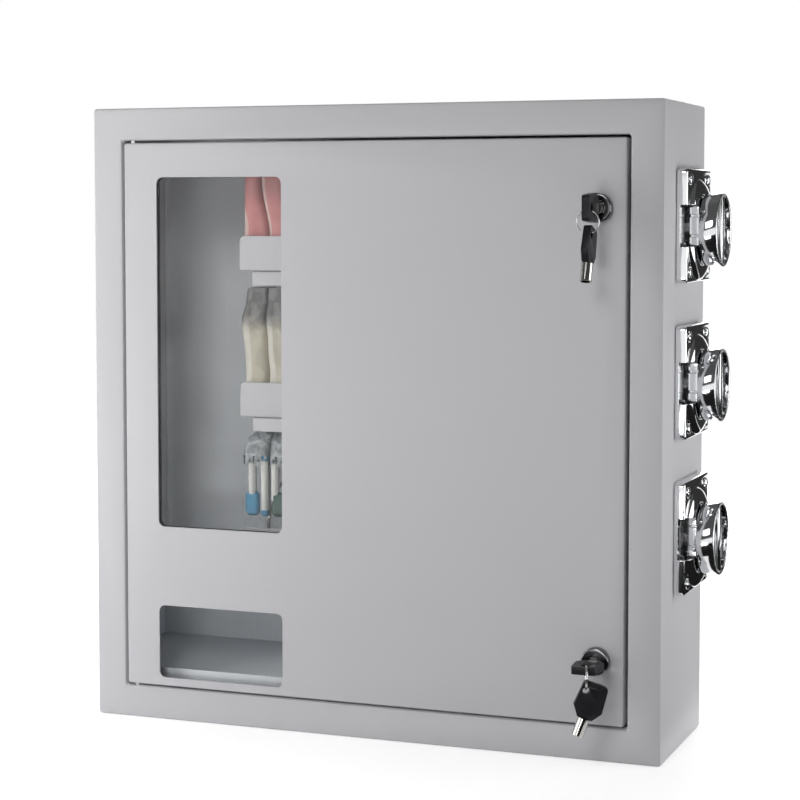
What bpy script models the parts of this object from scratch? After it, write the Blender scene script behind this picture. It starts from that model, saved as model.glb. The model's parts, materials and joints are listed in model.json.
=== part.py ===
# Three tier wall vending cabinet. Each knob on the right side takes a coin and turns a wire spiral,
# which pushes the packs of its tier to the left until the first one falls down the drop shaft.
# X runs to the right, Y to the back and Z up. The origin is the centre of the cabinet's underside.
import math

import bmesh
import bpy
from mathutils import Matrix, Vector

# Fits
CLEARANCE = 0.0003
OVERRUN = 0.002
WELD_DISTANCE = 0.000001

# Cabinet
CABINET_WIDTH = 0.420
CABINET_DEPTH = 0.116
CABINET_HEIGHT = 0.440
SHEET = 0.0012
BEND_RADIUS = 0.002
RIM_WIDTH = 0.023
RETURN_DEPTH = 0.014
BACK_FLANGE = 0.008
WALL_BOLT_RADIUS = 0.0035
WALL_BOLT_SPREAD = 0.240
WALL_BOLT_TOP_DROP = 0.025
WALL_BOLT_TRAY_DROP = 0.009

# Door
DOOR_GAP_LEFT = 0.0013
DOOR_GAP_RIGHT = 0.0022
DOOR_GAP_TOP = 0.0018
DOOR_GAP_BOTTOM = 0.0013
DOOR_FLANGE = 0.012
PIVOT_INSET = 0.0065
PIVOT_SETBACK = 0.0036
PIN_RADIUS = 0.002
PIN_LENGTH = 0.015
PIN_REACH = 0.007
PIN_CHAMFER = 0.0005

# Windows in the door, measured from the cabinet's left side, underside and top
WINDOW_LEFT = 0.0505
WINDOW_WIDTH = 0.0970
WINDOW_LOW = 0.1405
WINDOW_TOP_DROP = 0.0493
PORT_LOW = 0.0308
PORT_TOP_DROP = 0.0109
WINDOW_CORNER = 0.0045
PANE_THICKNESS = 0.002
PANE_MARGIN = 0.006
FRAME_MARGIN = 0.004
FRAME_BACK = 0.0014

# Locks and keys
LOCK_INSET = 0.0440
LOCK_TOP_OFFSET = 0.0710
LOCK_LOW = 0.0680
LOCK_HEAD_RADIUS = 0.0096
LOCK_HEAD_HEIGHT = 0.005
LOCK_HEAD_CHAMFER = 0.0012
LOCK_BARREL_RADIUS = 0.008
LOCK_BARREL_LENGTH = 0.0165
LOCK_MOUTH_RADIUS = 0.0068
LOCK_MOUTH_DEPTH = 0.0014
PLUG_RADIUS = 0.0053
PLUG_POST_RADIUS = 0.0025
PLUG_STUD_RADIUS = 0.003
KEY_INSERTION = 0.008
NUT_ACROSS_FLATS = 0.021
NUT_THICKNESS = 0.003
CAM_THICKNESS = 0.002
CAM_REACH = 0.030
CAM_HUB_RADIUS = 0.0075
CAM_TIP_RADIUS = 0.005
KEY_BARREL_RADIUS = 0.004
KEY_BARREL_BORE = 0.0029
KEY_BARREL_LENGTH = 0.012
KEY_BOW_LENGTH = 0.024
KEY_BOW_TOP_WIDTH = 0.0168
KEY_BOW_SHOULDER_WIDTH = 0.0194
KEY_BOW_SHOULDER_RISE = 0.0066
KEY_BOW_CORNER = 0.0026
KEY_NECK_WIDTH = 0.010
KEY_BOW_THICKNESS = 0.005
KEY_HOLE_RADIUS = 0.003
KEY_HOLE_INSET = 0.0065
SPARE_HOLE_RADIUS = 0.0023
SPARE_HOLE_SHIFT = 0.0052
KEY_EDGE_RADIUS = 0.0009
RING_RADIUS = 0.0075
RING_WIRE_RADIUS = 0.0006
RING_SEAT = 0.00095
LOWER_RING_TURN = math.radians(20)
SPARE_TILT = math.radians(20)

# Tiers
TIER_NAMES = ("upper", "middle", "lower")
TIER_TOP_SHARE = 0.8045454545
TIER_PITCH_SHARE = 0.2386363636
AXIS_SETBACK_SHARE = 0.5862068966

# Trays and the rails under them
TRAY_LEFT = 0.103
TRAY_FRONT_SETBACK = 0.027
TRAY_FLOOR_DROP = 0.030
TRAY_LIP_HEIGHT = 0.025
TRAY_LIP_CORNER = 0.004
RAIL_LEFT_INSET = 0.009
RAIL_FRONT_INSET = 0.002
RAIL_DEPTH = 0.014
RAIL_HEIGHT = 0.010

# Spirals and packs
WIRE_RADIUS = 0.0012
COIL_RADIUS = 0.026
COIL_PITCH = 0.018
COIL_POINTS_PER_TURN = 8
COIL_END_ROOM = 0.006
PACKS_SHOWN = 2
PACK_LIP_GAP = 0.0028
PACK_BACK_REACH = 0.003
PACK_BACK_SHARE = 0.2666666667
PACK_TAPER_SHARE = 0.205
PACK_END_GAP = 0.001
PACK_EDGE_RADIUS = 0.0012
PACK_HEADROOMS = (0.017, 0.014, 0.013)

# Coin mechanisms
PLATE_DEPTH = 0.072
PLATE_HEIGHT = 0.076
PLATE_THICKNESS = 0.0072
PLATE_RISE = 0.003
PLATE_CORNER = 0.003
PLATE_EDGE_RADIUS = 0.0012
DOME_BASE_RADIUS = 0.0345
DOME_TOP_RADIUS = 0.026
DOME_HEIGHT = 0.0112
DOME_STEPS = 4
NOTCH_HEIGHT = 0.028
NOTCH_DEPTH = 0.017
NOTCH_FLOOR = 0.0024
NOTCH_CORNER = 0.002
GROOVE_WIDTH = 0.0018
GROOVE_DEPTH = 0.003
GROOVE_SPACING = 0.0135
WHEEL_RADIUS = 0.030
WHEEL_THICKNESS = 0.0042
WHEEL_RUNNING_GAP = 0.0006
WHEEL_FLOOR = 0.0018
CAVITY_RADIUS = 0.031
COIN_RADIUS = 0.0142
COIN_ORBIT = 0.0205
SHAFT_RADIUS = 0.0046
SHAFT_PLAY = 0.0007
KNOB_RADIUS = 0.025
KNOB_BASE_RADIUS = 0.0243
KNOB_THICKNESS = 0.0125
KNOB_LIFT = 0.0008
KNOB_CHAMFER = 0.0008
KNOB_WALL = 0.0028
KNOB_DISH = 0.0055
KNOB_SEAT_DEPTH = 0.0045
GRIP_WIDTH = 0.008
GRIP_DROP = 0.0006
GRIP_BITE = 0.001
WALL_PORT_RADIUS = 0.024
HOUSING_DEPTH = 0.056
HOUSING_HEIGHT = 0.060
HOUSING_REACH = 0.013
HOUSING_WALL = 0.002
HOUSING_BEND = 0.003
HOUSING_EXIT_WIDTH = 0.030
RATCHET_TIP_RADIUS = 0.020
RATCHET_ROOT_RADIUS = 0.018
RATCHET_THICKNESS = 0.003
RATCHET_TEETH = 12
RATCHET_START_SHARE = 0.25
RATCHET_GAP = 0.003
PAWL_WIDTH = 0.005
DRIVE_DISC_RADIUS = 0.0275
DRIVE_DISC_THICKNESS = 0.0024

# Coin chute, cash box and pickup bin
CHUTE_REACH = 0.031
CHUTE_SIDE_GAP = 0.003
CHUTE_LOW = 0.078
CHUTE_TOP_MARGIN = 0.036
CASH_BOX_WIDTH = 0.134
CASH_BOX_HEIGHT = 0.066
CASH_BOX_SIDE_GAP = 0.004
CASH_BOX_SETBACK = 0.024
FINGER_RADIUS = 0.010
BIN_WIDTH = 0.150
BIN_FRONT_SETBACK = 0.015
BIN_BACK_SETBACK = 0.014
BIN_FLOOR = 0.0262
BIN_SLOPE = 0.013
BIN_LIP = 0.0082
BIN_RAIL_GAP = 0.0095

# Sides of round pieces, steps of their corners, and the angles that part one face from the next
FINE_SIDES = 28
ROUND_SIDES = 18
SMALL_SIDES = 8
KEY_HOLE_SIDES = 12
NUT_SIDES = 6
CORNER_STEPS = 4
BEND_STEPS = 2
ALIGNED_SHARE = 0.9
ROUND_PROFILE = 0.5
HALF_TURN = 0.5
FOLD_ANGLE = math.radians(60)
SMOOTH_ANGLE = math.radians(35)
EDGE_ANGLE = math.radians(40)

# Places that follow from the sizes
FRONT = -CABINET_DEPTH / 2
BACK = CABINET_DEPTH / 2
SIDE = CABINET_WIDTH / 2
INNER_SIDE = SIDE - SHEET
AXIS_Y = FRONT + CABINET_DEPTH * AXIS_SETBACK_SHARE
TIER_PITCH = CABINET_HEIGHT * TIER_PITCH_SHARE
TIER_AXES = [CABINET_HEIGHT * TIER_TOP_SHARE - TIER_PITCH * tier for tier in range(len(TIER_NAMES))]
LOWEST_TRAY = TIER_AXES[-1] - TRAY_FLOOR_DROP
BIN_TOP = LOWEST_TRAY - CLEARANCE - RAIL_HEIGHT - BIN_RAIL_GAP
WINDOW_HEIGHT = CABINET_HEIGHT - WINDOW_TOP_DROP - WINDOW_LOW
PORT_HEIGHT = BIN_TOP - PORT_TOP_DROP - PORT_LOW
DOOR_LEFT = -SIDE + RIM_WIDTH + DOOR_GAP_LEFT
DOOR_RIGHT = SIDE - RIM_WIDTH - DOOR_GAP_RIGHT
DOOR_LOW = RIM_WIDTH + DOOR_GAP_BOTTOM
DOOR_HIGH = CABINET_HEIGHT - RIM_WIDTH - DOOR_GAP_TOP
PIVOT_X = DOOR_LEFT + PIVOT_INSET
PIVOT_Y = FRONT + PIVOT_SETBACK
LOCK_X = SIDE - LOCK_INSET
LOCK_HIGH = CABINET_HEIGHT - LOCK_TOP_OFFSET
TRAY_END = -SIDE + TRAY_LEFT
PACK_FRONT = FRONT + TRAY_FRONT_SETBACK + SHEET + PACK_LIP_GAP
PACK_DEPTH = AXIS_Y + PACK_BACK_REACH - PACK_FRONT
PACK_BACK_THICKNESS = COIL_PITCH * PACK_BACK_SHARE
PACK_FRONT_THICKNESS = PACK_BACK_THICKNESS + PACK_DEPTH * PACK_TAPER_SHARE
CHUTE_FACE = INNER_SIDE - CLEARANCE - CHUTE_REACH
PLATE_SEAT = SIDE + CLEARANCE
HOUSING_FACE = INNER_SIDE - CLEARANCE - HOUSING_REACH
COIL_START = TRAY_END + PACK_END_GAP + PACK_FRONT_THICKNESS / 2
COIL_TURNS = math.floor((CHUTE_FACE - COIL_END_ROOM - COIL_START) / COIL_PITCH)
COIL_END = COIL_START + COIL_PITCH * COIL_TURNS
KNOB_BASE = PLATE_SEAT + DOME_HEIGHT + KNOB_LIFT

# Ways that a turned piece or an outline can face
FACING_RIGHT = Matrix.Rotation(math.pi / 2, 4, "Y")
FACING_FRONT = Matrix.Rotation(math.pi / 2, 4, "X")
FACING_UP = Matrix.Identity(4)


def collection(name):
    group = bpy.data.collections.new(name)
    bpy.context.scene.collection.children.link(group)
    return group


for leftover in list(bpy.data.objects):
    bpy.data.objects.remove(leftover, do_unlink=True)
PARTS = collection("combo_vending_machine")
CUTTERS = collection("cutters")


def finish(name, colour, roughness, metallic=0.0, alpha=1.0):
    made = bpy.data.materials.new(name)
    made.use_nodes = True
    shader = made.node_tree.nodes["Principled BSDF"]
    shader.inputs["Base Color"].default_value = (*colour, 1.0)
    shader.inputs["Roughness"].default_value = roughness
    shader.inputs["Metallic"].default_value = metallic
    shader.inputs["Alpha"].default_value = alpha
    return made


GREY_PAINT = finish("grey_paint", (0.50, 0.50, 0.53), 0.45)
ZINC_SHEET = finish("zinc_sheet", (0.55, 0.56, 0.57), 0.40, 1.0)
CHROME = finish("chrome", (0.80, 0.81, 0.83), 0.08, 1.0)
CAST_ZINC = finish("cast_zinc", (0.42, 0.42, 0.43), 0.45, 1.0)
STEEL = finish("steel", (0.56, 0.56, 0.57), 0.30, 1.0)
SPRING_WIRE = finish("spring_wire", (0.60, 0.60, 0.61), 0.25, 1.0)
CLEAR_ACRYLIC = finish("clear_acrylic", (0.92, 0.95, 0.95), 0.05, 0.0, 0.25)
BLACK_PLASTIC = finish("black_plastic", (0.012, 0.012, 0.014), 0.40)
PINK_SLEEVE = finish("pink_sleeve", (0.62, 0.33, 0.32), 0.50)
CREAM_BAG = finish("cream_bag", (0.60, 0.57, 0.47), 0.45)
WHITE_BAG = finish("white_bag", (0.68, 0.72, 0.74), 0.40)


def link(name, mesh, look, matrix=FACING_UP):
    """A mesh becomes one sub-part of the machine, or a cutter when it has no look."""
    piece = bpy.data.objects.new(name, mesh)
    if look is None:
        CUTTERS.objects.link(piece)
        piece.hide_render = True
        piece.display_type = "WIRE"
    else:
        PARTS.objects.link(piece)
        mesh.materials.clear()
        mesh.materials.append(look)
    piece.matrix_world = matrix
    return piece


def mesh_from(bm, name):
    mesh = bpy.data.meshes.new(name)
    bm.to_mesh(mesh)
    bm.free()
    return mesh


def smooth(piece):
    piece.data.shade_smooth()
    piece.data.set_sharp_from_angle(angle=SMOOTH_ANGLE)
    return piece


def boolean(piece, tool, operation):
    step = piece.modifiers.new(f"{operation.lower()} {tool.name}", "BOOLEAN")
    step.operation = operation
    step.solver = "EXACT"
    step.object = tool
    return piece


def cut(piece, *tools):
    for tool in tools:
        boolean(piece, tool, "DIFFERENCE")
    return piece


def fuse(piece, *tools):
    for tool in tools:
        boolean(piece, tool, "UNION")
    return piece


def cube_between(low, high):
    """A box in its own centre, and the matrix that carries it between two corners."""
    low, high = Vector(low), Vector(high)
    bm = bmesh.new()
    bmesh.ops.create_cube(bm, size=1.0, matrix=Matrix.Diagonal((high - low).to_4d()))
    return bm, Matrix.Translation((low + high) / 2)


def facing(bm, direction):
    direction = Vector(direction)
    return [face for face in bm.faces if face.normal.dot(direction) > ALIGNED_SHARE]


def draw_out(bm, faces, shift):
    """Faces are drawn out by a shift. It returns them at their new place."""
    drawn = bmesh.ops.extrude_face_region(bm, geom=faces)["geom"]
    bmesh.ops.translate(bm, verts=[item for item in drawn if isinstance(item, bmesh.types.BMVert)], vec=shift)
    bmesh.ops.delete(bm, geom=faces, context="FACES")
    return [item for item in drawn if isinstance(item, bmesh.types.BMFace)]


def bevelled(bm, geometry, width, steps, affect="EDGES"):
    bmesh.ops.bevel(bm, geom=geometry, offset=width, segments=steps, profile=ROUND_PROFILE, affect=affect)


def block(name, low, high, look=None, radius=0.0, along=None):
    """A box, whose edges along one axis can be rounded."""
    bm, matrix = cube_between(low, high)
    if radius:
        axis = Vector(along)
        edges = [edge for edge in bm.edges
                 if abs((edge.verts[0].co - edge.verts[1].co).normalized().dot(axis)) > ALIGNED_SHARE]
        bevelled(bm, edges, radius, CORNER_STEPS)
    return link(name, mesh_from(bm, name), look, matrix)


def folded(name, low, high, open_sides, look, thickness=SHEET, bend=BEND_RADIUS):
    """Sheet metal folded on a box, without the sides that are open."""
    bm, matrix = cube_between(low, high)
    for side in open_sides:
        bmesh.ops.delete(bm, geom=facing(bm, side), context="FACES")
    bends = [edge for edge in bm.edges if len(edge.link_faces) == 2]
    bevelled(bm, bends, bend, BEND_STEPS)
    piece = link(name, mesh_from(bm, name), look, matrix)
    thicken(piece, thickness)
    return piece


def thicken(piece, thickness):
    wall = piece.modifiers.new("wall", "SOLIDIFY")
    wall.thickness = thickness
    wall.offset = -1.0
    wall.use_even_offset = True


def rod(name, radius, start, length, matrix, look=None, sides=ROUND_SIDES):
    """A cylinder along the local Z of a matrix, from a start to its length above it."""
    bm = bmesh.new()
    lift = Matrix.Translation((0.0, 0.0, start + length / 2))
    bmesh.ops.create_cone(bm, cap_ends=True, segments=sides, radius1=radius, radius2=radius,
                          depth=length, matrix=lift)
    piece = link(name, mesh_from(bm, name), look, matrix)
    return smooth(piece)


def turned(name, profile, matrix, look=None, sides=ROUND_SIDES, closed=False):
    """A profile of (radius, height) points, down the outer side, turned about the local Z."""
    bm = bmesh.new()
    points = [bm.verts.new((radius, 0.0, height)) for radius, height in profile]
    for first, second in zip(points, points[1:]):
        bm.edges.new((first, second))
    if closed:
        bm.edges.new((points[-1], points[0]))
    piece = link(name, mesh_from(bm, name), look, matrix)
    lathe = piece.modifiers.new("lathe", "SCREW")
    lathe.axis = "Z"
    lathe.steps = sides
    lathe.render_steps = sides
    lathe.use_merge_vertices = True
    lathe.merge_threshold = WELD_DISTANCE
    lathe.use_smooth_shade = True
    return piece


def meshed(curve_object, name, look, matrix):
    """A curve object becomes a mesh with welded caps."""
    bpy.context.view_layer.update()
    evaluated = curve_object.evaluated_get(bpy.context.evaluated_depsgraph_get())
    mesh = bpy.data.meshes.new_from_object(evaluated)
    bpy.data.objects.remove(curve_object, do_unlink=True)
    bm = bmesh.new()
    bm.from_mesh(mesh)
    bmesh.ops.remove_doubles(bm, verts=bm.verts, dist=WELD_DISTANCE)
    bmesh.ops.recalc_face_normals(bm, faces=bm.faces)
    bm.to_mesh(mesh)
    bm.free()
    return link(name, mesh, look, matrix)


def add_spline(curve, points, cyclic):
    spline = curve.splines.new("POLY")
    spline.points.add(len(points) - 1)
    for target, point in zip(spline.points, points):
        target.co = (*point, *([0.0] * (3 - len(point))), 1.0)
    spline.use_cyclic_u = cyclic


def outline(name, thickness, matrix, look, *loops):
    """A flat plate with its middle on the local XY plane. Loops after the first are its holes."""
    curve = bpy.data.curves.new(name, "CURVE")
    curve.dimensions = "2D"
    curve.fill_mode = "BOTH"
    curve.extrude = thickness / 2
    for loop in loops:
        add_spline(curve, loop, True)
    holder = bpy.data.objects.new(name + " curve", curve)
    CUTTERS.objects.link(holder)
    return meshed(holder, name, look, matrix)


def wire(name, points, radius, matrix, look, cyclic=False):
    """A round wire along its points, with six sides."""
    curve = bpy.data.curves.new(name, "CURVE")
    curve.dimensions = "3D"
    curve.bevel_depth = radius
    curve.bevel_resolution = 1
    curve.use_fill_caps = not cyclic
    add_spline(curve, points, cyclic)
    holder = bpy.data.objects.new(name + " curve", curve)
    CUTTERS.objects.link(holder)
    return smooth(meshed(holder, name, look, matrix))


def arc(centre, radius, start, end, steps):
    """Points of an arc, with its angles in turns."""
    angles = [2 * math.pi * (start + (end - start) * step / steps) for step in range(steps + 1)]
    return [(centre[0] + radius * math.cos(a), centre[1] + radius * math.sin(a)) for a in angles]


def circle(radius, sides=ROUND_SIDES, centre=(0.0, 0.0)):
    return arc(centre, radius, 0.0, 1.0, sides)[:-1]


def round_edges(piece, width):
    rounding = piece.modifiers.new("rounded edges", "BEVEL")
    rounding.width = width
    rounding.segments = 1
    rounding.limit_method = "ANGLE"
    rounding.angle_limit = EDGE_ANGLE
    return piece


def pivot(name, place, turn=FACING_UP):
    """An empty on a joint's axis, which carries the pieces that move together."""
    empty = bpy.data.objects.new(name, None)
    PARTS.objects.link(empty)
    empty.matrix_world = Matrix.Translation(place) @ turn
    return empty


def carry(empty, *pieces):
    bpy.context.view_layer.update()
    for piece in pieces:
        piece.parent = empty
        piece.matrix_parent_inverse = empty.matrix_world.inverted()


def at(x, y, z, turn=FACING_UP):
    return Matrix.Translation((x, y, z)) @ turn


def cabinet_shell():
    """One folded shell: four walls, the front rim and its return round the door."""
    bm, matrix = cube_between((-SIDE, FRONT, 0.0), (SIDE, BACK, CABINET_HEIGHT))
    bmesh.ops.delete(bm, geom=facing(bm, (0, 1, 0)), context="FACES")
    front = facing(bm, (0, -1, 0))
    bmesh.ops.inset_region(bm, faces=front, thickness=RIM_WIDTH, use_even_offset=True)
    drawn = draw_out(bm, front, (0.0, RETURN_DEPTH, 0.0))
    bmesh.ops.delete(bm, geom=drawn, context="FACES")
    bends = [edge for edge in bm.edges
             if len(edge.link_faces) == 2 and edge.calc_face_angle() > FOLD_ANGLE]
    bevelled(bm, bends, BEND_RADIUS, BEND_STEPS)
    shell = link("cabinet_shell", mesh_from(bm, "cabinet_shell"), GREY_PAINT, matrix)
    thicken(shell, SHEET)
    for tier, axis in zip(TIER_NAMES, TIER_AXES):
        cut(shell, rod(f"{tier} wall port", WALL_PORT_RADIUS, INNER_SIDE - OVERRUN,
                       SHEET + 2 * OVERRUN, at(0.0, AXIS_Y, axis, FACING_RIGHT), sides=FINE_SIDES))
    reach = CABINET_HEIGHT - 2 * RIM_WIDTH + 2 * (SHEET + OVERRUN)
    cut(shell, rod("pivot holes", PIN_RADIUS + CLEARANCE, RIM_WIDTH - SHEET - OVERRUN, reach,
                   at(PIVOT_X, PIVOT_Y, 0.0), sides=SMALL_SIDES))
    return shell


def back_panel():
    """A pan pressed into the open back, with four holes for the wall bolts."""
    edge = SHEET + CLEARANCE
    panel = folded("back_panel", (-SIDE + edge, BACK - BACK_FLANGE, edge),
                   (SIDE - edge, BACK, CABINET_HEIGHT - edge), [(0, -1, 0)], GREY_PAINT)
    for x in (-WALL_BOLT_SPREAD / 2, WALL_BOLT_SPREAD / 2):
        for z in (LOWEST_TRAY - WALL_BOLT_TRAY_DROP, CABINET_HEIGHT - WALL_BOLT_TOP_DROP):
            cut(panel, rod("wall bolt hole", WALL_BOLT_RADIUS, -BACK - OVERRUN, SHEET + 2 * OVERRUN,
                           at(x, 0.0, z, FACING_FRONT), sides=SMALL_SIDES))
    return panel


def pivot_pins():
    """Two pins through the rim's return, on which the door turns."""
    top = RIM_WIDTH - SHEET + PIN_REACH
    for name, turn, height in (("lower", FACING_UP, 0.0),
                               ("upper", Matrix.Rotation(math.pi, 4, "X"), CABINET_HEIGHT)):
        profile = [(0.0, top), (PIN_RADIUS - PIN_CHAMFER, top), (PIN_RADIUS, top - PIN_CHAMFER),
                   (PIN_RADIUS, top - PIN_LENGTH), (0.0, top - PIN_LENGTH)]
        turned(f"{name}_pivot_pin", profile, at(PIVOT_X, PIVOT_Y, height, turn), STEEL, SMALL_SIDES)


def pickup_bin():
    """An open bin at the foot of the drop shaft, with a sloped floor and a low front lip."""
    left = -INNER_SIDE + CLEARANCE
    front, back = FRONT + BIN_FRONT_SETBACK, BACK - BIN_BACK_SETBACK
    bm, matrix = cube_between((left, front, BIN_FLOOR), (left + BIN_WIDTH, back, BIN_TOP))
    bmesh.ops.delete(bm, geom=facing(bm, (0, 0, 1)), context="FACES")
    for vert in bm.verts:
        if vert.co.y > 0.0 and vert.co.z < 0.0:
            vert.co.z += BIN_SLOPE
    bends = [edge for edge in bm.edges if len(edge.link_faces) == 2]
    bevelled(bm, bends, BEND_RADIUS, BEND_STEPS)
    bin_piece = link("pickup_bin", mesh_from(bm, "pickup_bin"), GREY_PAINT, matrix)
    thicken(bin_piece, SHEET)
    mouth = block("bin mouth", (left + BEND_RADIUS, front - OVERRUN, BIN_FLOOR + BIN_LIP),
                  (left + BIN_WIDTH - BEND_RADIUS, front + SHEET + OVERRUN, BIN_TOP + OVERRUN))
    return cut(bin_piece, mouth)


def cash_box():
    """An open coin box on the cabinet's floor, under the chute, with a finger hole in front."""
    right = INNER_SIDE - CASH_BOX_SIDE_GAP
    low = SHEET + CLEARANCE
    front = FRONT + CASH_BOX_SETBACK
    box = folded("cash_box", (right - CASH_BOX_WIDTH, front, low),
                 (right, BACK - CASH_BOX_SETBACK, low + CASH_BOX_HEIGHT), [(0, 0, 1)], ZINC_SHEET)
    middle = right - CASH_BOX_WIDTH / 2
    return cut(box, rod("finger hole", FINGER_RADIUS, -front - SHEET - OVERRUN, SHEET + 2 * OVERRUN,
                        at(middle, 0.0, low + CASH_BOX_HEIGHT / 2, FACING_FRONT), sides=ROUND_SIDES))


def coin_chute():
    """A channel down the right wall, in which the coins fall to the cash box."""
    reach = HOUSING_DEPTH / 2 + CHUTE_SIDE_GAP
    chute = folded("coin_chute", (CHUTE_FACE, AXIS_Y - reach, CHUTE_LOW),
                   (CHUTE_FACE + CHUTE_REACH, AXIS_Y + reach, CABINET_HEIGHT - CHUTE_TOP_MARGIN),
                   [(1, 0, 0), (0, 0, 1), (0, 0, -1)], ZINC_SHEET)
    for axis in TIER_AXES:
        cut(chute, rod("shaft hole", SHAFT_RADIUS + 2 * SHAFT_PLAY, CHUTE_FACE - OVERRUN,
                       SHEET + 2 * OVERRUN, at(0.0, AXIS_Y, axis, FACING_RIGHT), sides=SMALL_SIDES))
    return chute


def tray(tier, axis):
    """A sheet tray with a lip in front, whose free end drops the packs into the shaft."""
    low = axis - TRAY_FLOOR_DROP
    bm, matrix = cube_between((TRAY_END, FRONT + TRAY_FRONT_SETBACK, low),
                              (CHUTE_FACE - CLEARANCE, BACK - SHEET - CLEARANCE, low + TRAY_LIP_HEIGHT))
    for side in ((0, 0, 1), (1, 0, 0), (-1, 0, 0)):
        bmesh.ops.delete(bm, geom=facing(bm, side), context="FACES")
    corners = [vert for vert in bm.verts if vert.co.x < 0.0 and vert.co.y < 0.0 and vert.co.z > 0.0]
    bends = [edge for edge in bm.edges if len(edge.link_faces) == 2]
    bevelled(bm, corners, TRAY_LIP_CORNER, CORNER_STEPS, "VERTICES")
    bevelled(bm, bends, BEND_RADIUS, BEND_STEPS)
    piece = link(f"{tier}_tray", mesh_from(bm, f"{tier}_tray"), GREY_PAINT, matrix)
    thicken(piece, SHEET)
    return piece


def rail(tier, axis):
    """A channel that stiffens the tray's front edge from below."""
    top = axis - TRAY_FLOOR_DROP - CLEARANCE
    front = FRONT + TRAY_FRONT_SETBACK + RAIL_FRONT_INSET
    return folded(f"{tier}_rail", (TRAY_END + RAIL_LEFT_INSET, front, top - RAIL_HEIGHT),
                  (CHUTE_FACE - CLEARANCE, front + RAIL_DEPTH, top),
                  [(0, 0, -1), (1, 0, 0), (-1, 0, 0)], GREY_PAINT)


def coil_points():
    """A left-hand helix. It crosses the back of its circle at each pack, and its last run is straight."""
    points = []
    for step in range(COIL_POINTS_PER_TURN * COIL_TURNS + 1):
        turns = step / COIL_POINTS_PER_TURN
        angle = -2 * math.pi * turns
        points.append(Vector((COIL_START + COIL_PITCH * turns, COIL_RADIUS * math.cos(angle),
                              COIL_RADIUS * math.sin(angle))))
    points.append(points[-1] + Vector((2 * WIRE_RADIUS, 0.0, 0.0)))
    return points


def least_coil_gap(points):
    """The least space between the wire of one turn and the wire of the next."""
    apart = [(first - second).length for index, first in enumerate(points)
             for second in points[index + COIL_POINTS_PER_TURN // 2:]]
    return min(apart) - 2 * WIRE_RADIUS


def pack(name, index, axis, height, look):
    """A pack between two turns, wedge shaped so that the turning wire clears it."""
    x = COIL_START + COIL_PITCH * index
    low = axis - TRAY_FLOOR_DROP + SHEET + CLEARANCE
    half = PACK_FRONT_THICKNESS / 2
    bm, matrix = cube_between((x - half, PACK_FRONT, low), (x + half, PACK_FRONT + PACK_DEPTH, low + height))
    for vert in bm.verts:
        if vert.co.y > 0.0:
            vert.co.x *= PACK_BACK_THICKNESS / PACK_FRONT_THICKNESS
    upright = [edge for edge in bm.edges if abs(edge.verts[0].co.z - edge.verts[1].co.z) > height / 2]
    bevelled(bm, upright, PACK_EDGE_RADIUS, 1)
    return link(name, mesh_from(bm, name), look, matrix)


def dome_profile():
    """The dome's round shoulder, an ellipse from its rim down to the plate."""
    low = PLATE_THICKNESS - PLATE_EDGE_RADIUS
    rise = DOME_HEIGHT - low
    run = DOME_BASE_RADIUS - DOME_TOP_RADIUS
    shoulder = []
    for step in range(DOME_STEPS + 1):
        angle = math.pi / 2 * step / DOME_STEPS
        shoulder.append((DOME_TOP_RADIUS + run * math.sin(angle), low + rise * math.cos(angle)))
    return [(0.0, DOME_HEIGHT)] + shoulder + [(0.0, low)]


def coin_face(tier, axis):
    """The chromed face casting: plate, dome, coin notch, wheel cavity and shaft bore."""
    middle = axis + PLATE_RISE
    bm, matrix = cube_between((PLATE_SEAT, AXIS_Y - PLATE_DEPTH / 2, middle - PLATE_HEIGHT / 2),
                              (PLATE_SEAT + PLATE_THICKNESS, AXIS_Y + PLATE_DEPTH / 2,
                               middle + PLATE_HEIGHT / 2))
    corners = [edge for edge in bm.edges
               if abs(edge.verts[0].co.x - edge.verts[1].co.x) > PLATE_THICKNESS / 2]
    bevelled(bm, corners, PLATE_CORNER, CORNER_STEPS)
    outer = facing(bm, (1, 0, 0))
    rim = [edge for edge in bm.edges if len([face for face in edge.link_faces if face in outer]) == 1]
    bevelled(bm, rim, PLATE_EDGE_RADIUS, BEND_STEPS)
    face = link(f"{tier}_coin_face", mesh_from(bm, f"{tier}_coin_face"), CHROME, matrix)
    seat = at(PLATE_SEAT, AXIS_Y, axis, FACING_RIGHT)
    fuse(face, turned(f"{tier} dome", dome_profile(), seat, sides=FINE_SIDES))
    cavity_depth = WHEEL_RUNNING_GAP + WHEEL_THICKNESS + CLEARANCE
    cut(face, rod(f"{tier} cavity", CAVITY_RADIUS, -OVERRUN, OVERRUN + cavity_depth, seat, sides=FINE_SIDES))
    cut(face, rod(f"{tier} bore", SHAFT_RADIUS + SHAFT_PLAY, 0.0, DOME_HEIGHT + OVERRUN, seat))
    notch_end = AXIS_Y - PLATE_DEPTH / 2 + NOTCH_DEPTH
    top = PLATE_SEAT + DOME_HEIGHT + OVERRUN
    mouth = notch_end - NOTCH_DEPTH - NOTCH_CORNER - OVERRUN
    cut(face, block(f"{tier} notch", (PLATE_SEAT + NOTCH_FLOOR, mouth, middle - NOTCH_HEIGHT / 2),
                    (top, notch_end, middle + NOTCH_HEIGHT / 2), None, NOTCH_CORNER, (1, 0, 0)))
    for side in (-1, 1):
        height = middle + side * GROOVE_SPACING / 2
        cut(face, block(f"{tier} groove", (PLATE_SEAT + cavity_depth - OVERRUN, notch_end - OVERRUN,
                                           height - GROOVE_WIDTH / 2),
                        (top, notch_end + GROOVE_DEPTH, height + GROOVE_WIDTH / 2)))
    return face


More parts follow.
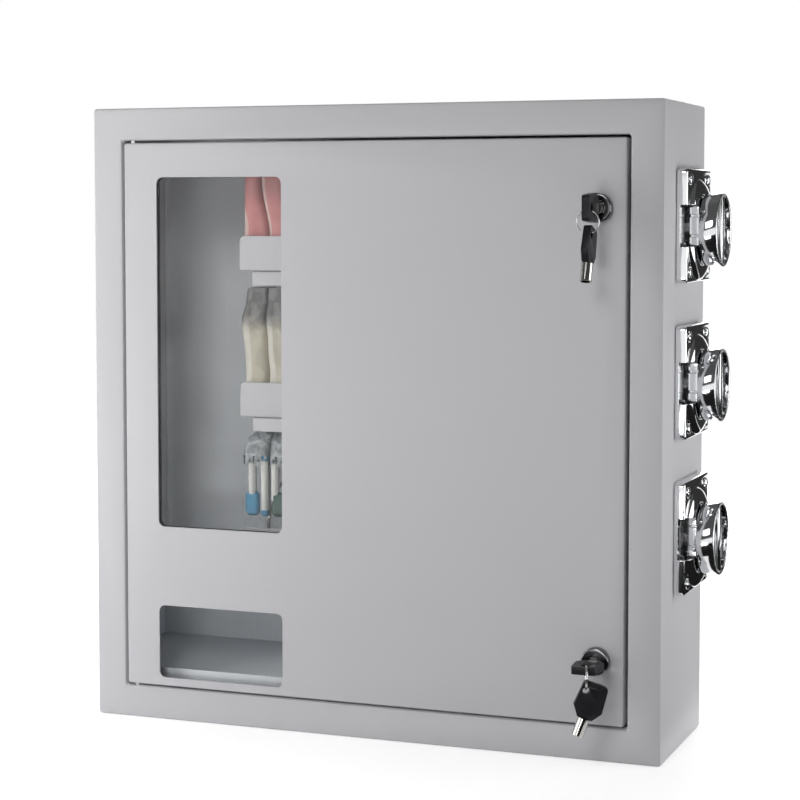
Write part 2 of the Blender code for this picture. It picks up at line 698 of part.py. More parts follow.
def coin_housing(tier, axis):
    """The cup inside the wall round the ratchet, with a coin exit below and a fixed stop finger."""
    right = INNER_SIDE - CLEARANCE
    housing = folded(f"{tier}_housing", (HOUSING_FACE, AXIS_Y - HOUSING_DEPTH / 2, axis - HOUSING_HEIGHT / 2),
                     (right, AXIS_Y + HOUSING_DEPTH / 2, axis + HOUSING_HEIGHT / 2), [(1, 0, 0)],
                     CAST_ZINC, HOUSING_WALL, HOUSING_BEND)
    finger = block(f"{tier} stop finger",
                   (HOUSING_FACE + HOUSING_WALL / 2, AXIS_Y - PAWL_WIDTH / 2,
                    axis + RATCHET_TIP_RADIUS + 2 * CLEARANCE),
                   (HOUSING_FACE + HOUSING_WALL + RATCHET_GAP + RATCHET_THICKNESS, AXIS_Y + PAWL_WIDTH / 2,
                    axis + HOUSING_HEIGHT / 2 - HOUSING_WALL / 2))
    fuse(housing, finger)
    exit_low = axis - HOUSING_HEIGHT / 2
    cut(housing, block(f"{tier} coin exit",
                       (HOUSING_FACE + HOUSING_WALL, AXIS_Y - HOUSING_EXIT_WIDTH / 2, exit_low - OVERRUN),
                       (right + OVERRUN, AXIS_Y + HOUSING_EXIT_WIDTH / 2, exit_low + HOUSING_WALL + OVERRUN)))
    return cut(housing, rod(f"{tier} housing bore", SHAFT_RADIUS + SHAFT_PLAY, HOUSING_FACE - OVERRUN,
                            HOUSING_WALL + 2 * OVERRUN, at(0.0, AXIS_Y, axis, FACING_RIGHT)))


def coin_wheel(tier, axis):
    """The wheel behind the notch, with a pocket that takes one coin."""
    middle = PLATE_SEAT + WHEEL_RUNNING_GAP + WHEEL_THICKNESS / 2
    wheel = outline(f"{tier}_coin_wheel", WHEEL_THICKNESS, at(middle, AXIS_Y, axis, FACING_RIGHT), STEEL,
                    circle(WHEEL_RADIUS, FINE_SIDES), circle(SHAFT_RADIUS + CLEARANCE, ROUND_SIDES))
    floor = PLATE_SEAT + WHEEL_RUNNING_GAP + WHEEL_FLOOR
    pocket = rod(f"{tier} coin pocket", COIN_RADIUS, floor, WHEEL_THICKNESS,
                 at(0.0, AXIS_Y - COIN_ORBIT, axis + PLATE_RISE, FACING_RIGHT))
    return cut(wheel, pocket)


def ratchet_outline():
    """Saw teeth: each rises slowly to its tip and drops straight back to the root."""
    teeth = []
    step = 2 * math.pi / RATCHET_TEETH
    for tooth in range(RATCHET_TEETH):
        start = (tooth + RATCHET_START_SHARE) * step
        for radius, angle in ((RATCHET_ROOT_RADIUS, start), (RATCHET_TIP_RADIUS, start + step)):
            teeth.append((radius * math.cos(angle), radius * math.sin(angle)))
    return teeth


def spindle(tier, axis):
    """The shaft from knob to spiral, with its ratchet and the disc that drives the spiral."""
    seat = at(0.0, AXIS_Y, axis, FACING_RIGHT)
    disc_face = COIL_END + 2 * WIRE_RADIUS + CLEARANCE
    tip = KNOB_BASE + KNOB_SEAT_DEPTH - CLEARANCE
    start = disc_face + CLEARANCE
    shaft = rod(f"{tier}_spindle", SHAFT_RADIUS, start, tip - start, seat, STEEL)
    disc = rod(f"{tier} drive disc", DRIVE_DISC_RADIUS, disc_face, DRIVE_DISC_THICKNESS, seat,
               sides=FINE_SIDES)
    middle = HOUSING_FACE + HOUSING_WALL + RATCHET_GAP + RATCHET_THICKNESS / 2
    ratchet = outline(f"{tier} ratchet", RATCHET_THICKNESS, at(middle, AXIS_Y, axis, FACING_RIGHT), None,
                      ratchet_outline())
    return fuse(shaft, disc, ratchet)


def knob(tier, axis):
    """A round chromed knob, dished at its end, with a grip bar across the dish."""
    seat = at(KNOB_BASE, AXIS_Y, axis, FACING_RIGHT)
    dish_radius = KNOB_RADIUS - KNOB_WALL
    dish_floor = KNOB_THICKNESS - KNOB_DISH
    profile = [(0.0, dish_floor), (dish_radius - KNOB_CHAMFER, dish_floor),
               (dish_radius, dish_floor + KNOB_CHAMFER), (dish_radius, KNOB_THICKNESS - KNOB_CHAMFER / 2),
               (dish_radius + KNOB_CHAMFER / 2, KNOB_THICKNESS), (KNOB_RADIUS - KNOB_CHAMFER, KNOB_THICKNESS),
               (KNOB_RADIUS, KNOB_THICKNESS - KNOB_CHAMFER), (KNOB_BASE_RADIUS, KNOB_CHAMFER),
               (KNOB_BASE_RADIUS - KNOB_CHAMFER, 0.0), (0.0, 0.0)]
    body = turned(f"{tier}_knob", profile, seat, CHROME, FINE_SIDES)
    reach = dish_radius + GRIP_BITE
    bar = block(f"{tier} grip bar",
                (KNOB_BASE + dish_floor - GRIP_BITE, AXIS_Y - GRIP_WIDTH / 2, axis - reach),
                (KNOB_BASE + KNOB_THICKNESS - GRIP_DROP, AXIS_Y + GRIP_WIDTH / 2, axis + reach))
    fuse(body, bar)
    return cut(body, rod(f"{tier} knob seat", SHAFT_RADIUS + CLEARANCE, -OVERRUN,
                         OVERRUN + KNOB_SEAT_DEPTH, seat))


def drive(tier, axis, coil):
    """Knob, spindle, coin wheel and spiral of one tier turn together."""
    middle = pivot(f"{tier}_drive_axis", (KNOB_BASE, AXIS_Y, axis))
    spiral = wire(f"{tier}_spiral", coil, WIRE_RADIUS, at(0.0, AXIS_Y, axis), SPRING_WIRE)
    carry(middle, knob(tier, axis), spindle(tier, axis), coin_wheel(tier, axis), spiral)


def door_panel():
    """The door is a pan, flush with the rim, with a window, a pickup port and two lock holes."""
    panel = folded("door_panel", (DOOR_LEFT, FRONT, DOOR_LOW), (DOOR_RIGHT, FRONT + DOOR_FLANGE, DOOR_HIGH),
                   [(0, 1, 0)], GREY_PAINT)
    left = -SIDE + WINDOW_LEFT
    for name, low, height in (("window", WINDOW_LOW, WINDOW_HEIGHT), ("pickup port", PORT_LOW, PORT_HEIGHT)):
        cut(panel, block(f"{name} cut", (left, FRONT - OVERRUN, low),
                         (left + WINDOW_WIDTH, FRONT + SHEET + OVERRUN, low + height),
                         None, WINDOW_CORNER, (0, 1, 0)))
    for height in (LOCK_LOW, LOCK_HIGH):
        cut(panel, rod("lock hole", LOCK_BARREL_RADIUS + CLEARANCE, -FRONT - SHEET - OVERRUN,
                       SHEET + 2 * OVERRUN, at(LOCK_X, 0.0, height, FACING_FRONT)))
    return cut(panel, rod("door pivot holes", PIN_RADIUS + CLEARANCE, DOOR_LOW - OVERRUN,
                          DOOR_HIGH - DOOR_LOW + 2 * OVERRUN, at(PIVOT_X, PIVOT_Y, 0.0), sides=SMALL_SIDES))


def around_window(name, margin, front, back, look=None):
    """A block that follows the window's outline at a margin outside it."""
    left = -SIDE + WINDOW_LEFT
    return block(name, (left - margin, front, WINDOW_LOW - margin),
                 (left + WINDOW_WIDTH + margin, back, WINDOW_LOW + WINDOW_HEIGHT + margin),
                 look, WINDOW_CORNER, (0, 1, 0))


def window_pane():
    face = FRONT + SHEET + CLEARANCE
    return around_window("window_pane", PANE_MARGIN, face, face + PANE_THICKNESS, CLEAR_ACRYLIC)


def pane_frame():
    """The frame that holds the pane against the door, with a pocket the size of the pane."""
    face = FRONT + SHEET + CLEARANCE
    pocket = PANE_MARGIN + CLEARANCE
    pocket_back = face + PANE_THICKNESS + CLEARANCE
    back = pocket_back + FRAME_BACK
    frame = around_window("pane_frame", pocket + FRAME_MARGIN, face, back, BLACK_PLASTIC)
    cut(frame, around_window("pane pocket", pocket, face - OVERRUN, pocket_back))
    return cut(frame, around_window("pane opening", 0.0, face - OVERRUN, back + OVERRUN))


def lock_body(name, place):
    """A round lock: head in front of the door, barrel through it, bored for its plug."""
    low = -SHEET - CLEARANCE - LOCK_BARREL_LENGTH
    bore = PLUG_RADIUS + CLEARANCE
    profile = [(LOCK_MOUTH_RADIUS, LOCK_HEAD_HEIGHT),
               (LOCK_HEAD_RADIUS - LOCK_HEAD_CHAMFER, LOCK_HEAD_HEIGHT),
               (LOCK_HEAD_RADIUS, LOCK_HEAD_HEIGHT - LOCK_HEAD_CHAMFER), (LOCK_HEAD_RADIUS, 0.0),
               (LOCK_BARREL_RADIUS, 0.0), (LOCK_BARREL_RADIUS, low), (bore, low),
               (bore, LOCK_HEAD_HEIGHT - LOCK_MOUTH_DEPTH),
               (LOCK_MOUTH_RADIUS, LOCK_HEAD_HEIGHT - LOCK_MOUTH_DEPTH)]
    return turned(f"{name}_lock_body", profile, place, CHROME, closed=True)


def lock_plug(name, place):
    """The plug that the key turns, with a round groove for the key's tube and a stud for the cam."""
    face = LOCK_HEAD_HEIGHT - LOCK_MOUTH_DEPTH
    groove = LOCK_HEAD_HEIGHT - KEY_INSERTION - CLEARANCE
    low = -SHEET - CLEARANCE - LOCK_BARREL_LENGTH
    stud_end = low - CAM_THICKNESS - 2 * CLEARANCE
    wide = KEY_BARREL_RADIUS + CLEARANCE
    profile = [(0.0, face), (PLUG_POST_RADIUS, face), (PLUG_POST_RADIUS, groove), (wide, groove),
               (wide, face), (PLUG_RADIUS, face), (PLUG_RADIUS, low), (PLUG_STUD_RADIUS, low),
               (PLUG_STUD_RADIUS, stud_end), (0.0, stud_end)]
    return turned(f"{name}_lock_plug", profile, place, STEEL)


def lock_nut(name, place):
    middle = -SHEET - 2 * CLEARANCE - NUT_THICKNESS / 2
    corner = NUT_ACROSS_FLATS / 2 / math.cos(math.pi / NUT_SIDES)
    return outline(f"{name}_lock_nut", NUT_THICKNESS, place @ at(0.0, 0.0, middle), STEEL,
                   circle(corner, NUT_SIDES), circle(LOCK_BARREL_RADIUS + CLEARANCE))


def lock_cam(name, place):
    """A flat cam, upright while the lock is open, that swings behind the rim's return."""
    middle = -SHEET - 2 * CLEARANCE - LOCK_BARREL_LENGTH - CAM_THICKNESS / 2
    tip = (0.0, CAM_REACH - CAM_TIP_RADIUS)
    edge = arc(tip, CAM_TIP_RADIUS, 0.0, HALF_TURN, SMALL_SIDES // 2)
    edge += arc((0.0, 0.0), CAM_HUB_RADIUS, HALF_TURN, 2 * HALF_TURN, SMALL_SIDES // 2)
    return outline(f"{name}_lock_cam", CAM_THICKNESS, place @ at(0.0, 0.0, middle), STEEL,
                   edge, circle(PLUG_STUD_RADIUS + CLEARANCE, SMALL_SIDES))


def key_bow(name, matrix, hole_radius=KEY_HOLE_RADIUS, shift=0.0):
    """A six sided bow with its neck along local -Y. Its axis runs beside the ring hole at the origin."""
    top = KEY_HOLE_INSET
    neck = top - KEY_BOW_LENGTH
    shoulder = neck + KEY_BOW_SHOULDER_RISE
    half = KEY_BOW_TOP_WIDTH / 2
    edge = []
    for side, turns in ((1, (0.0, HALF_TURN / 2)), (-1, (HALF_TURN / 2, HALF_TURN))):
        centre = (shift + side * (half - KEY_BOW_CORNER), top - KEY_BOW_CORNER)
        edge += arc(centre, KEY_BOW_CORNER, *turns, BEND_STEPS)
    edge += [(shift - KEY_BOW_SHOULDER_WIDTH / 2, shoulder), (shift - KEY_NECK_WIDTH / 2, neck),
             (shift + KEY_NECK_WIDTH / 2, neck), (shift + KEY_BOW_SHOULDER_WIDTH / 2, shoulder)]
    bow = outline(f"{name}_bow", KEY_BOW_THICKNESS, matrix, BLACK_PLASTIC,
                  edge, circle(hole_radius, KEY_HOLE_SIDES))
    return round_edges(bow, KEY_EDGE_RADIUS)


def key_barrel(name, matrix, shift=0.0):
    """The tube of a key, open at its tip, seated on the neck of the bow."""
    top = KEY_HOLE_INSET - KEY_BOW_LENGTH - CLEARANCE
    tip = top - KEY_BARREL_LENGTH
    closed = top - (KEY_BARREL_RADIUS - KEY_BARREL_BORE)
    profile = [(0.0, top), (KEY_BARREL_RADIUS, top), (KEY_BARREL_RADIUS, tip), (KEY_BARREL_BORE, tip),
               (KEY_BARREL_BORE, closed), (0.0, closed)]
    along = matrix @ at(shift, 0.0, 0.0, Matrix.Rotation(-math.pi / 2, 4, "X"))
    return turned(f"{name}_barrel", profile, along, STEEL, KEY_HOLE_SIDES)


def spare_key(name, matrix):
    """A key that hangs by a hole beside its axis, and so leans."""
    bow = key_bow(name, matrix, SPARE_HOLE_RADIUS, SPARE_HOLE_SHIFT)
    return bow, key_barrel(name, matrix, SPARE_HOLE_SHIFT)


def hung_from(place, turn, lean):
    """A key's place when its hole hangs from a ring's foot, leaning in its own plane."""
    return (Matrix.Translation(place - Vector((0.0, 0.0, RING_SEAT))) @ turn @ FACING_FRONT
            @ Matrix.Rotation(lean, 4, "Z"))


def key_ring(name, matrix):
    """A wire ring in the local XZ plane."""
    points = [(x, 0.0, z) for x, z in circle(RING_RADIUS, ROUND_SIDES)]
    return wire(f"{name}_ring", points, RING_WIRE_RADIUS, matrix, STEEL, cyclic=True)


def key_hole_distance():
    """From the lock head's face to the ring hole of the key in the lock."""
    exposed = KEY_BARREL_LENGTH - KEY_INSERTION + CLEARANCE
    return exposed + KEY_BOW_LENGTH - KEY_HOLE_INSET


def lock(name, height, bow_turn):
    """A lock with its key in place. The bow's flat side faces sideways or up, as the turn says."""
    place = at(LOCK_X, FRONT - CLEARANCE, height, FACING_FRONT)
    barrel = lock_body(name, place)
    nut = lock_nut(name, place)
    cylinder = pivot(f"{name}_lock_axis", place.translation)
    carry(cylinder, lock_plug(name, place), lock_cam(name, place))
    hole_y = FRONT - CLEARANCE - LOCK_HEAD_HEIGHT - key_hole_distance()
    outward = Matrix.Rotation(math.pi, 4, "Z") @ Matrix.Rotation(bow_turn, 4, "Y")
    key_place = at(LOCK_X, hole_y, height, outward)
    key = pivot(f"{name}_key_slide", (LOCK_X, hole_y, height))
    carry(key, key_bow(f"{name}_key", key_place), key_barrel(f"{name}_key", key_place))
    carry(cylinder, key)
    return barrel, nut, cylinder, key


def wire_drop():
    """How far the ring's wire falls from its highest point to the faces of a bow on it."""
    return RING_RADIUS - math.sqrt(RING_RADIUS ** 2 - (KEY_BOW_THICKNESS / 2) ** 2)


def upper_keys(key):
    """The upper bow stands on edge. Its ring hangs through the hole and the spare key hangs on the ring."""
    hole = key.matrix_world.translation
    seat = KEY_HOLE_RADIUS - RING_WIRE_RADIUS - CLEARANCE
    ring_top = hole + Vector((0.0, 0.0, wire_drop() - seat))
    ring_pivot = pivot("upper_ring_axis", ring_top)
    carry(ring_pivot, key_ring("upper", at(*(ring_top - Vector((0.0, 0.0, RING_RADIUS))))))
    ring_foot = ring_top - Vector((0.0, 0.0, 2 * RING_RADIUS))
    spare_pivot = pivot("upper_spare_axis", ring_foot)
    spare = hung_from(ring_foot, Matrix.Rotation(math.pi / 2, 4, "Z"), -SPARE_TILT)
    carry(spare_pivot, *spare_key("upper_spare_key", spare))
    carry(ring_pivot, spare_pivot)
    carry(key, ring_pivot)


def lower_keys(key):
    """The lower bow lies flat. Its ring goes down through the hole and round the end of the bow."""
    hole = key.matrix_world.translation
    half = KEY_BOW_THICKNESS / 2
    top_level = RING_RADIUS - RING_WIRE_RADIUS - CLEARANCE
    chords = [math.sqrt(RING_RADIUS ** 2 - level ** 2) for level in (top_level, top_level - 2 * half)]
    offset = sum(chords) / 2
    turn = Matrix.Rotation(LOWER_RING_TURN, 4, "Z")
    middle = hole + turn @ Vector((0.0, -offset, half - top_level))
    ring_pivot = pivot("lower_ring_axis", hole)
    carry(ring_pivot, key_ring("lower", at(*middle, turn @ Matrix.Rotation(math.pi / 2, 4, "Z"))))
    ring_foot = middle - Vector((0.0, 0.0, RING_RADIUS))
    spare_pivot = pivot("lower_spare_axis", ring_foot, turn)
    carry(spare_pivot, *spare_key("lower_spare_key", hung_from(ring_foot, turn, -SPARE_TILT)))
    carry(ring_pivot, spare_pivot)
    carry(key, ring_pivot)


def door():
    """Everything that the door carries, turning on its two pins."""
    hinge = pivot("door_axis", (PIVOT_X, PIVOT_Y, DOOR_LOW))
    upper = lock("upper", LOCK_HIGH, math.pi / 2)
    lower = lock("lower", LOCK_LOW, 0.0)
    upper_keys(upper[3])
    lower_keys(lower[3])
    carry(hinge, door_panel(), window_pane(), pane_frame(), *upper[:3], *lower[:3])


def build():
    cabinet_shell()
    back_panel()
    pivot_pins()
    pickup_bin()
    cash_box()
    coin_chute()
    door()
    coil = coil_points()
    print("least gap of the spiral to itself, mm:", round(1000 * least_coil_gap(coil), 2))
    for tier, axis, headroom, look in zip(TIER_NAMES, TIER_AXES, PACK_HEADROOMS,
                                          (PINK_SLEEVE, CREAM_BAG, WHITE_BAG)):
        tray(tier, axis)
        rail(tier, axis)
        coin_face(tier, axis)
        coin_housing(tier, axis)
        drive(tier, axis, coil)
        slide = pivot(f"{tier}_packs_slide", (COIL_START, AXIS_Y, axis))
        carry(slide, *[pack(f"{tier}_pack_{index + 1}", index, axis, TIER_PITCH - headroom, look)
                       for index in range(PACKS_SHOWN)])


build()
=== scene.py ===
# Looks of a three tier wall vending cabinet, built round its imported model.
# X runs to the right, Y to the back and Z up, in metres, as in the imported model.
import json
import math

import bmesh
import bpy
from mathutils import Matrix, Vector, noise

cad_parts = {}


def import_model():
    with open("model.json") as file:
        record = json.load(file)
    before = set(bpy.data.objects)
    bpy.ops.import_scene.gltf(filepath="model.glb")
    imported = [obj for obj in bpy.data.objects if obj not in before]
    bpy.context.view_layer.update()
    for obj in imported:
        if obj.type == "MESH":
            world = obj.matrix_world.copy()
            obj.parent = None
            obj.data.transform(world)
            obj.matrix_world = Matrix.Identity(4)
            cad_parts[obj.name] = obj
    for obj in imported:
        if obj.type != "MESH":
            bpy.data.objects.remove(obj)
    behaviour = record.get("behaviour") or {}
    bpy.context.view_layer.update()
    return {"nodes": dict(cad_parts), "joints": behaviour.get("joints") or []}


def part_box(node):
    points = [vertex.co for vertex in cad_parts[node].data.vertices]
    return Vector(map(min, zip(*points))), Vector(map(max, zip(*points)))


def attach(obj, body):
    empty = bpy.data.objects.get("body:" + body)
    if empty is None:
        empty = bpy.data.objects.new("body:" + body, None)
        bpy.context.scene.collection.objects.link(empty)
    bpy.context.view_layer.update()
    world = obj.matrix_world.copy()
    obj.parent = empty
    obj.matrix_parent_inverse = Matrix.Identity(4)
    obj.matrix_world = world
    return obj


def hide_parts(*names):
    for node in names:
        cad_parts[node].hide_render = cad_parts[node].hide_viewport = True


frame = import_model()

# The photograph's camera, worked out from the cabinet's edges
CAMERA_PLACE = Vector((0.52539, -1.37064, 0.36765))
CAMERA_YAW = 0.36343
CAMERA_PITCH = 0.06312
CAMERA_LENS = 92.68
CAMERA_SENSOR = 36.0
CAMERA_SHIFT_Y = -0.075

# Fits, and steps of round shapes
CLEARANCE = 0.0003
OVERRUN = 0.002
WELD_DISTANCE = 0.000002
FINE_SIDES = 96
SMALL_SIDES = 48
CORNER_STEPS = 6
EDGE_STEPS = 3
FINE_EDGE_STEPS = 4
ROUND_PROFILE = 0.5
SMOOTH_ANGLE = math.radians(32)
EDGE_ANGLE = math.radians(40)
WIRE_SMOOTH_ANGLE = math.radians(60)
PACK_SMOOTH_ANGLE = math.radians(70)
ALIGNED_SHARE = 0.9

# Spirals
WIRE_RADIUS = 0.0012
COIL_RADIUS = 0.026
COIL_PITCH = 0.018
COIL_TURNS = 15
COIL_STEPS = 32
WIRE_RESOLUTION = 4

# Coin mechanisms
PLATE_THICKNESS = 0.0072
PLATE_CORNER = 0.003
PLATE_EDGE = 0.0012
DOME_BASE_RADIUS = 0.0345
DOME_TOP_RADIUS = 0.026
DOME_HEIGHT = 0.0112
DOME_STEPS = 16
SHAFT_CLEAR_RADIUS = 0.0053
CAVITY_RADIUS = 0.031
CAVITY_DEPTH = 0.0051
NOTCH_HEIGHT = 0.028
NOTCH_DEPTH = 0.017
NOTCH_FLOOR = 0.0024
NOTCH_CORNER = 0.002
GROOVE_WIDTH = 0.0018
GROOVE_DEPTH = 0.003
GROOVE_SPACING = 0.0135
SCREW_SPREAD_Y = 0.027
SCREW_SPREAD_Z = 0.031
SCREW_RADIUS = 0.0037
SCREW_RISE = 0.0017
SCREW_STEPS = 6
SCREW_BRIM_SHARE = 0.35
SCREW_CROWN_SHARE = 0.65
SCREW_SLOT = 0.0010
SCREW_SLOT_FLOOR_SHARE = 0.4
SCREW_TURNS = (0.31, -0.12, 0.44, 0.09)
KNOB_RADIUS = 0.025
KNOB_BASE_RADIUS = 0.0243
KNOB_THICKNESS = 0.0125
KNOB_WALL = 0.0028
KNOB_DISH = 0.0055
KNOB_EDGE = 0.0008
KNURL_WIDTH = 0.0012
GRIP_WIDTH = 0.008
GRIP_DROP = 0.0006
GRIP_EDGE = 0.0014

# Locks and keys
LOCK_HEAD_RADIUS = 0.0096
LOCK_HEAD_HEIGHT = 0.005
LOCK_EDGE = 0.0012
LOCK_BARREL_RADIUS = 0.008
LOCK_BARREL_END = -0.018
LOCK_MOUTH_RADIUS = 0.0068
LOCK_MOUTH_DEPTH = 0.0014
PLUG_RADIUS = 0.0053
PLUG_POST_RADIUS = 0.0025
PLUG_STUD_RADIUS = 0.003
PLUG_STUD_END = -0.0206
KEY_INSERTION = 0.008
KEY_BARREL_RADIUS = 0.004
KEY_BARREL_BORE = 0.0029
KEY_BARREL_LENGTH = 0.012
KEY_TIP_SHARE = 0.0625
KEY_BOW_LENGTH = 0.024
KEY_BOW_TOP_WIDTH = 0.0168
KEY_BOW_SHOULDER_WIDTH = 0.0194
KEY_BOW_SHOULDER_RISE = 0.0066
KEY_BOW_CORNER = 0.0026
KEY_NECK_WIDTH = 0.010
KEY_BOW_THICKNESS = 0.005
KEY_HOLE_RADIUS = 0.003
KEY_HOLE_INSET = 0.0065
SPARE_HOLE_RADIUS = 0.0023
SPARE_HOLE_SHIFT = 0.0052
KEY_EDGE = 0.0009
RING_RADIUS = 0.0075
RING_WIRE_RADIUS = 0.00035
RING_TURNS = 1.9
RING_SEAT = 0.00095
LOWER_RING_TURN = math.radians(20)
SPARE_TILT = math.radians(20)

# Packs
PACKS_PER_TIER = 15
PACK_RINGS = 38
PACK_SIDES = 44
PACK_GAP = 0.0006
PACK_CROWN = 0.0009
PACK_WAVE = 0.0020
PACK_CURVE_STEPS = 8
STRIP_SIDES = range(PACK_SIDES - 8, PACK_SIDES - 4)
SEAL_SIDES = STRIP_SIDES[:3]
# Depth of the creases in each form's skin
SLEEVE_CREASE = 0.0010
BAG_CREASE = 0.0012
KIT_CREASE = 0.0013
# How fast the noises of a skin run across, deep and up it, and how far apart two packs lie in them
DENT_RUN = (90, 60, 60)
DENT_SEED_STEP = 7.3
FOLD_RUN = (0.55, 3.0)
FOLD_SEED_STEP = 3.1
FOLD_SHARE = 0.7
WAVE_RUN = (70, 40)
WAVE_SEED_STEP = 1.7
PUSH_DEPTH_SHARE = 0.6
# Heights between which a bag goes from filled to empty, and the dark and light painted at random on the
# empty film's facets, standing in for the light and shade they catch
FILLED = (0.056, 0.074)
EMPTY_FILM_PAINTED_SHADES = ((0.060, 0.060, 0.058), (0.225, 0.222, 0.215))
CLEAR_SHARE = 0.77
CLEAR_RAG = 0.045
CLEAR_RAG_RUN = 2.1
# Outline seen from above: cheeks in front of the wire, from an edge, and a wedge between its turns
CHEEK = ((-0.0024, -0.0200), (-0.0006, -0.0189), (0.0, -0.0162), (-0.0005, -0.0128))
WEDGE = ((0.0053, -0.0106), (0.0044, 0.0), (0.0033, 0.0100), (0.0022, 0.0188))
OPEN_WEDGE = ((0.0078, -0.0080), (0.0072, 0.0), (0.0060, 0.0100), (0.0040, 0.0180))
COIL_CLEAR_SHARES = (0.64, 0.72)
# Left edge of the first pack and of the others, at shares of the height
FREE_EDGES = {
    "upper": ((0.0, -0.0062), (0.3, -0.0060), (0.95, -0.0060), (1.0, -0.0046)),
    "middle": ((0.0, -0.0050), (0.32, -0.0057), (0.55, -0.0072), (0.75, -0.0090), (0.89, -0.0064),
               (0.97, -0.0060), (1.0, -0.0050)),
    "lower": ((0.0, -0.0065), (0.3, -0.0080), (0.5, -0.0083), (0.86, -0.0082), (0.95, -0.0062),
              (1.0, -0.0020)),
}
SHARED_EDGES = {
    "upper": ((0.0, -0.0045), (0.27, -0.0050), (0.705, -0.0103), (1.0, -0.0105)),
    "middle": ((0.0, -0.0045), (0.32, -0.0047), (0.742, -0.0070), (1.0, -0.0072)),
    "lower": ((0.0, -0.0058), (1.0, -0.0058)),
}
DEPTHS = {
    "upper": ((0.0, 0.96), (0.04, 1.0), (0.95, 1.0), (1.0, 0.92)),
    "middle": ((0.0, 0.95), (0.05, 1.0), (0.75, 1.0), (0.90, 0.84), (1.0, 0.80)),
    "lower": ((0.0, 0.95), (0.05, 1.0), (0.8, 1.0), (0.93, 0.88), (1.0, 0.60)),
}
# What lies in a kit: the film's distance to it, and its handles' and heads' roundness and depth
KIT_WALL = 0.0018
HANDLE_EDGE_SHARE = 0.55
HEAD_BITE = 0.0004
HEAD_DEPTH = 0.0060
GREEN_SHIFT = 0.0028

# Inputs and output of a colour mix node
MIX_SHARE, MIX_FIRST, MIX_SECOND, MIX_RESULT = 0, 6, 7, 2
# Relief of all finishes, and the folds, sharp creases and gathers of film, with painted highlights along the
# sharp creases and painted light and shade on the gathered film's facets
RELIEF_DEPTH = 0.0002
EDGE_SAMPLES = 4
CRUMPLE_STRENGTH = 0.8
CRUMPLE_DEPTH = 0.0016
CREASE_BEND_SCALE = 0.8
CREASE_BEND = (1.6, 1.6, 0.6)
CREASE_HIGHLIGHT_WIDTH = 0.12
CREASE_HIGHLIGHT_LEVEL = 0.45
GATHER_SCALE = 130.0
GATHER_RAG = 0.022
CLOUD_RANGE = (0.3, 0.7)

# Floor, and the distances from the cabinet between which its own white takes over from the lamps' light
FLOOR_SIZE = 6.0
FLOOR_DROP = 0.0002
FLOOR_COLOUR = (0.80, 0.80, 0.80)
FLOOR_REACH = (0.35, 1.9)
FLOOR_WHITE = (0.56, 0.93)
WORLD_LEVEL = 0.09
# Area lamps: name, place, target, width, height, power
LAMPS = (("left_high", (-0.50, -0.42, 0.50), (-0.09, 0.0, 0.38), 0.3, 0.3, 0.96),
         ("left_low", (-0.50, -0.42, 0.10), (-0.09, 0.0, 0.08), 0.3, 0.3, 1.04),
         ("high", (0.05, -1.40, 1.00), (0.0, 0.0, 0.22), 0.5, 0.5, 5.1),
         ("front_low", (0.05, -1.0, 0.06), (0.0, 0.0, 0.06), 0.3, 0.1, 1.1),
         ("side", (0.9, 0.2, 0.2), (0.2, 0.0, 0.15), 0.6, 0.8, 4.0),
         ("side_low", (0.9, 0.1, 0.1), (0.2, 0.0, 0.05), 0.6, 0.3, 0.9),
         ("left_side", (-1.2, 0.35, 0.40), (-0.2, 0.0, 0.20), 0.8, 0.8, 8.0),
         ("overhead", (0.0, 0.60, 1.60), (0.0, 0.0, 0.44), 0.8, 0.8, 5.5),
         ("behind", (-0.3, 1.30, 0.50), (0.0, 0.0, 0.22), 0.8, 0.8, 9.0))
# Cards that only reflections see: name, lowest corner, highest corner, level
CARDS = (("card_above", (-3.0, -5.5, 1.20), (3.0, 3.5, 1.21), 0.08),
         ("card_front", (-1.2, -1.6, 0.004), (1.4, -0.14, 0.008), 0.012),
         ("card_beside", (0.225, -0.14, 0.004), (1.4, 0.7, 0.008), 0.012),
         ("card_behind", (0.30, 0.80, 0.0), (1.40, 0.81, 1.15), 0.035))

FACING_RIGHT = Matrix.Rotation(math.pi / 2, 4, "Y")
FACING_FRONT = Matrix.Rotation(math.pi / 2, 4, "X")
JOINTS = {joint["name"]: Vector(joint["pos_m"]) for joint in frame["joints"] if "pos_m" in joint}
TIERS = ("upper", "middle", "lower")
LOCKS = ("upper", "lower")


# Finishes: each has a colour that wanders, a roughness that varies and a fine relief

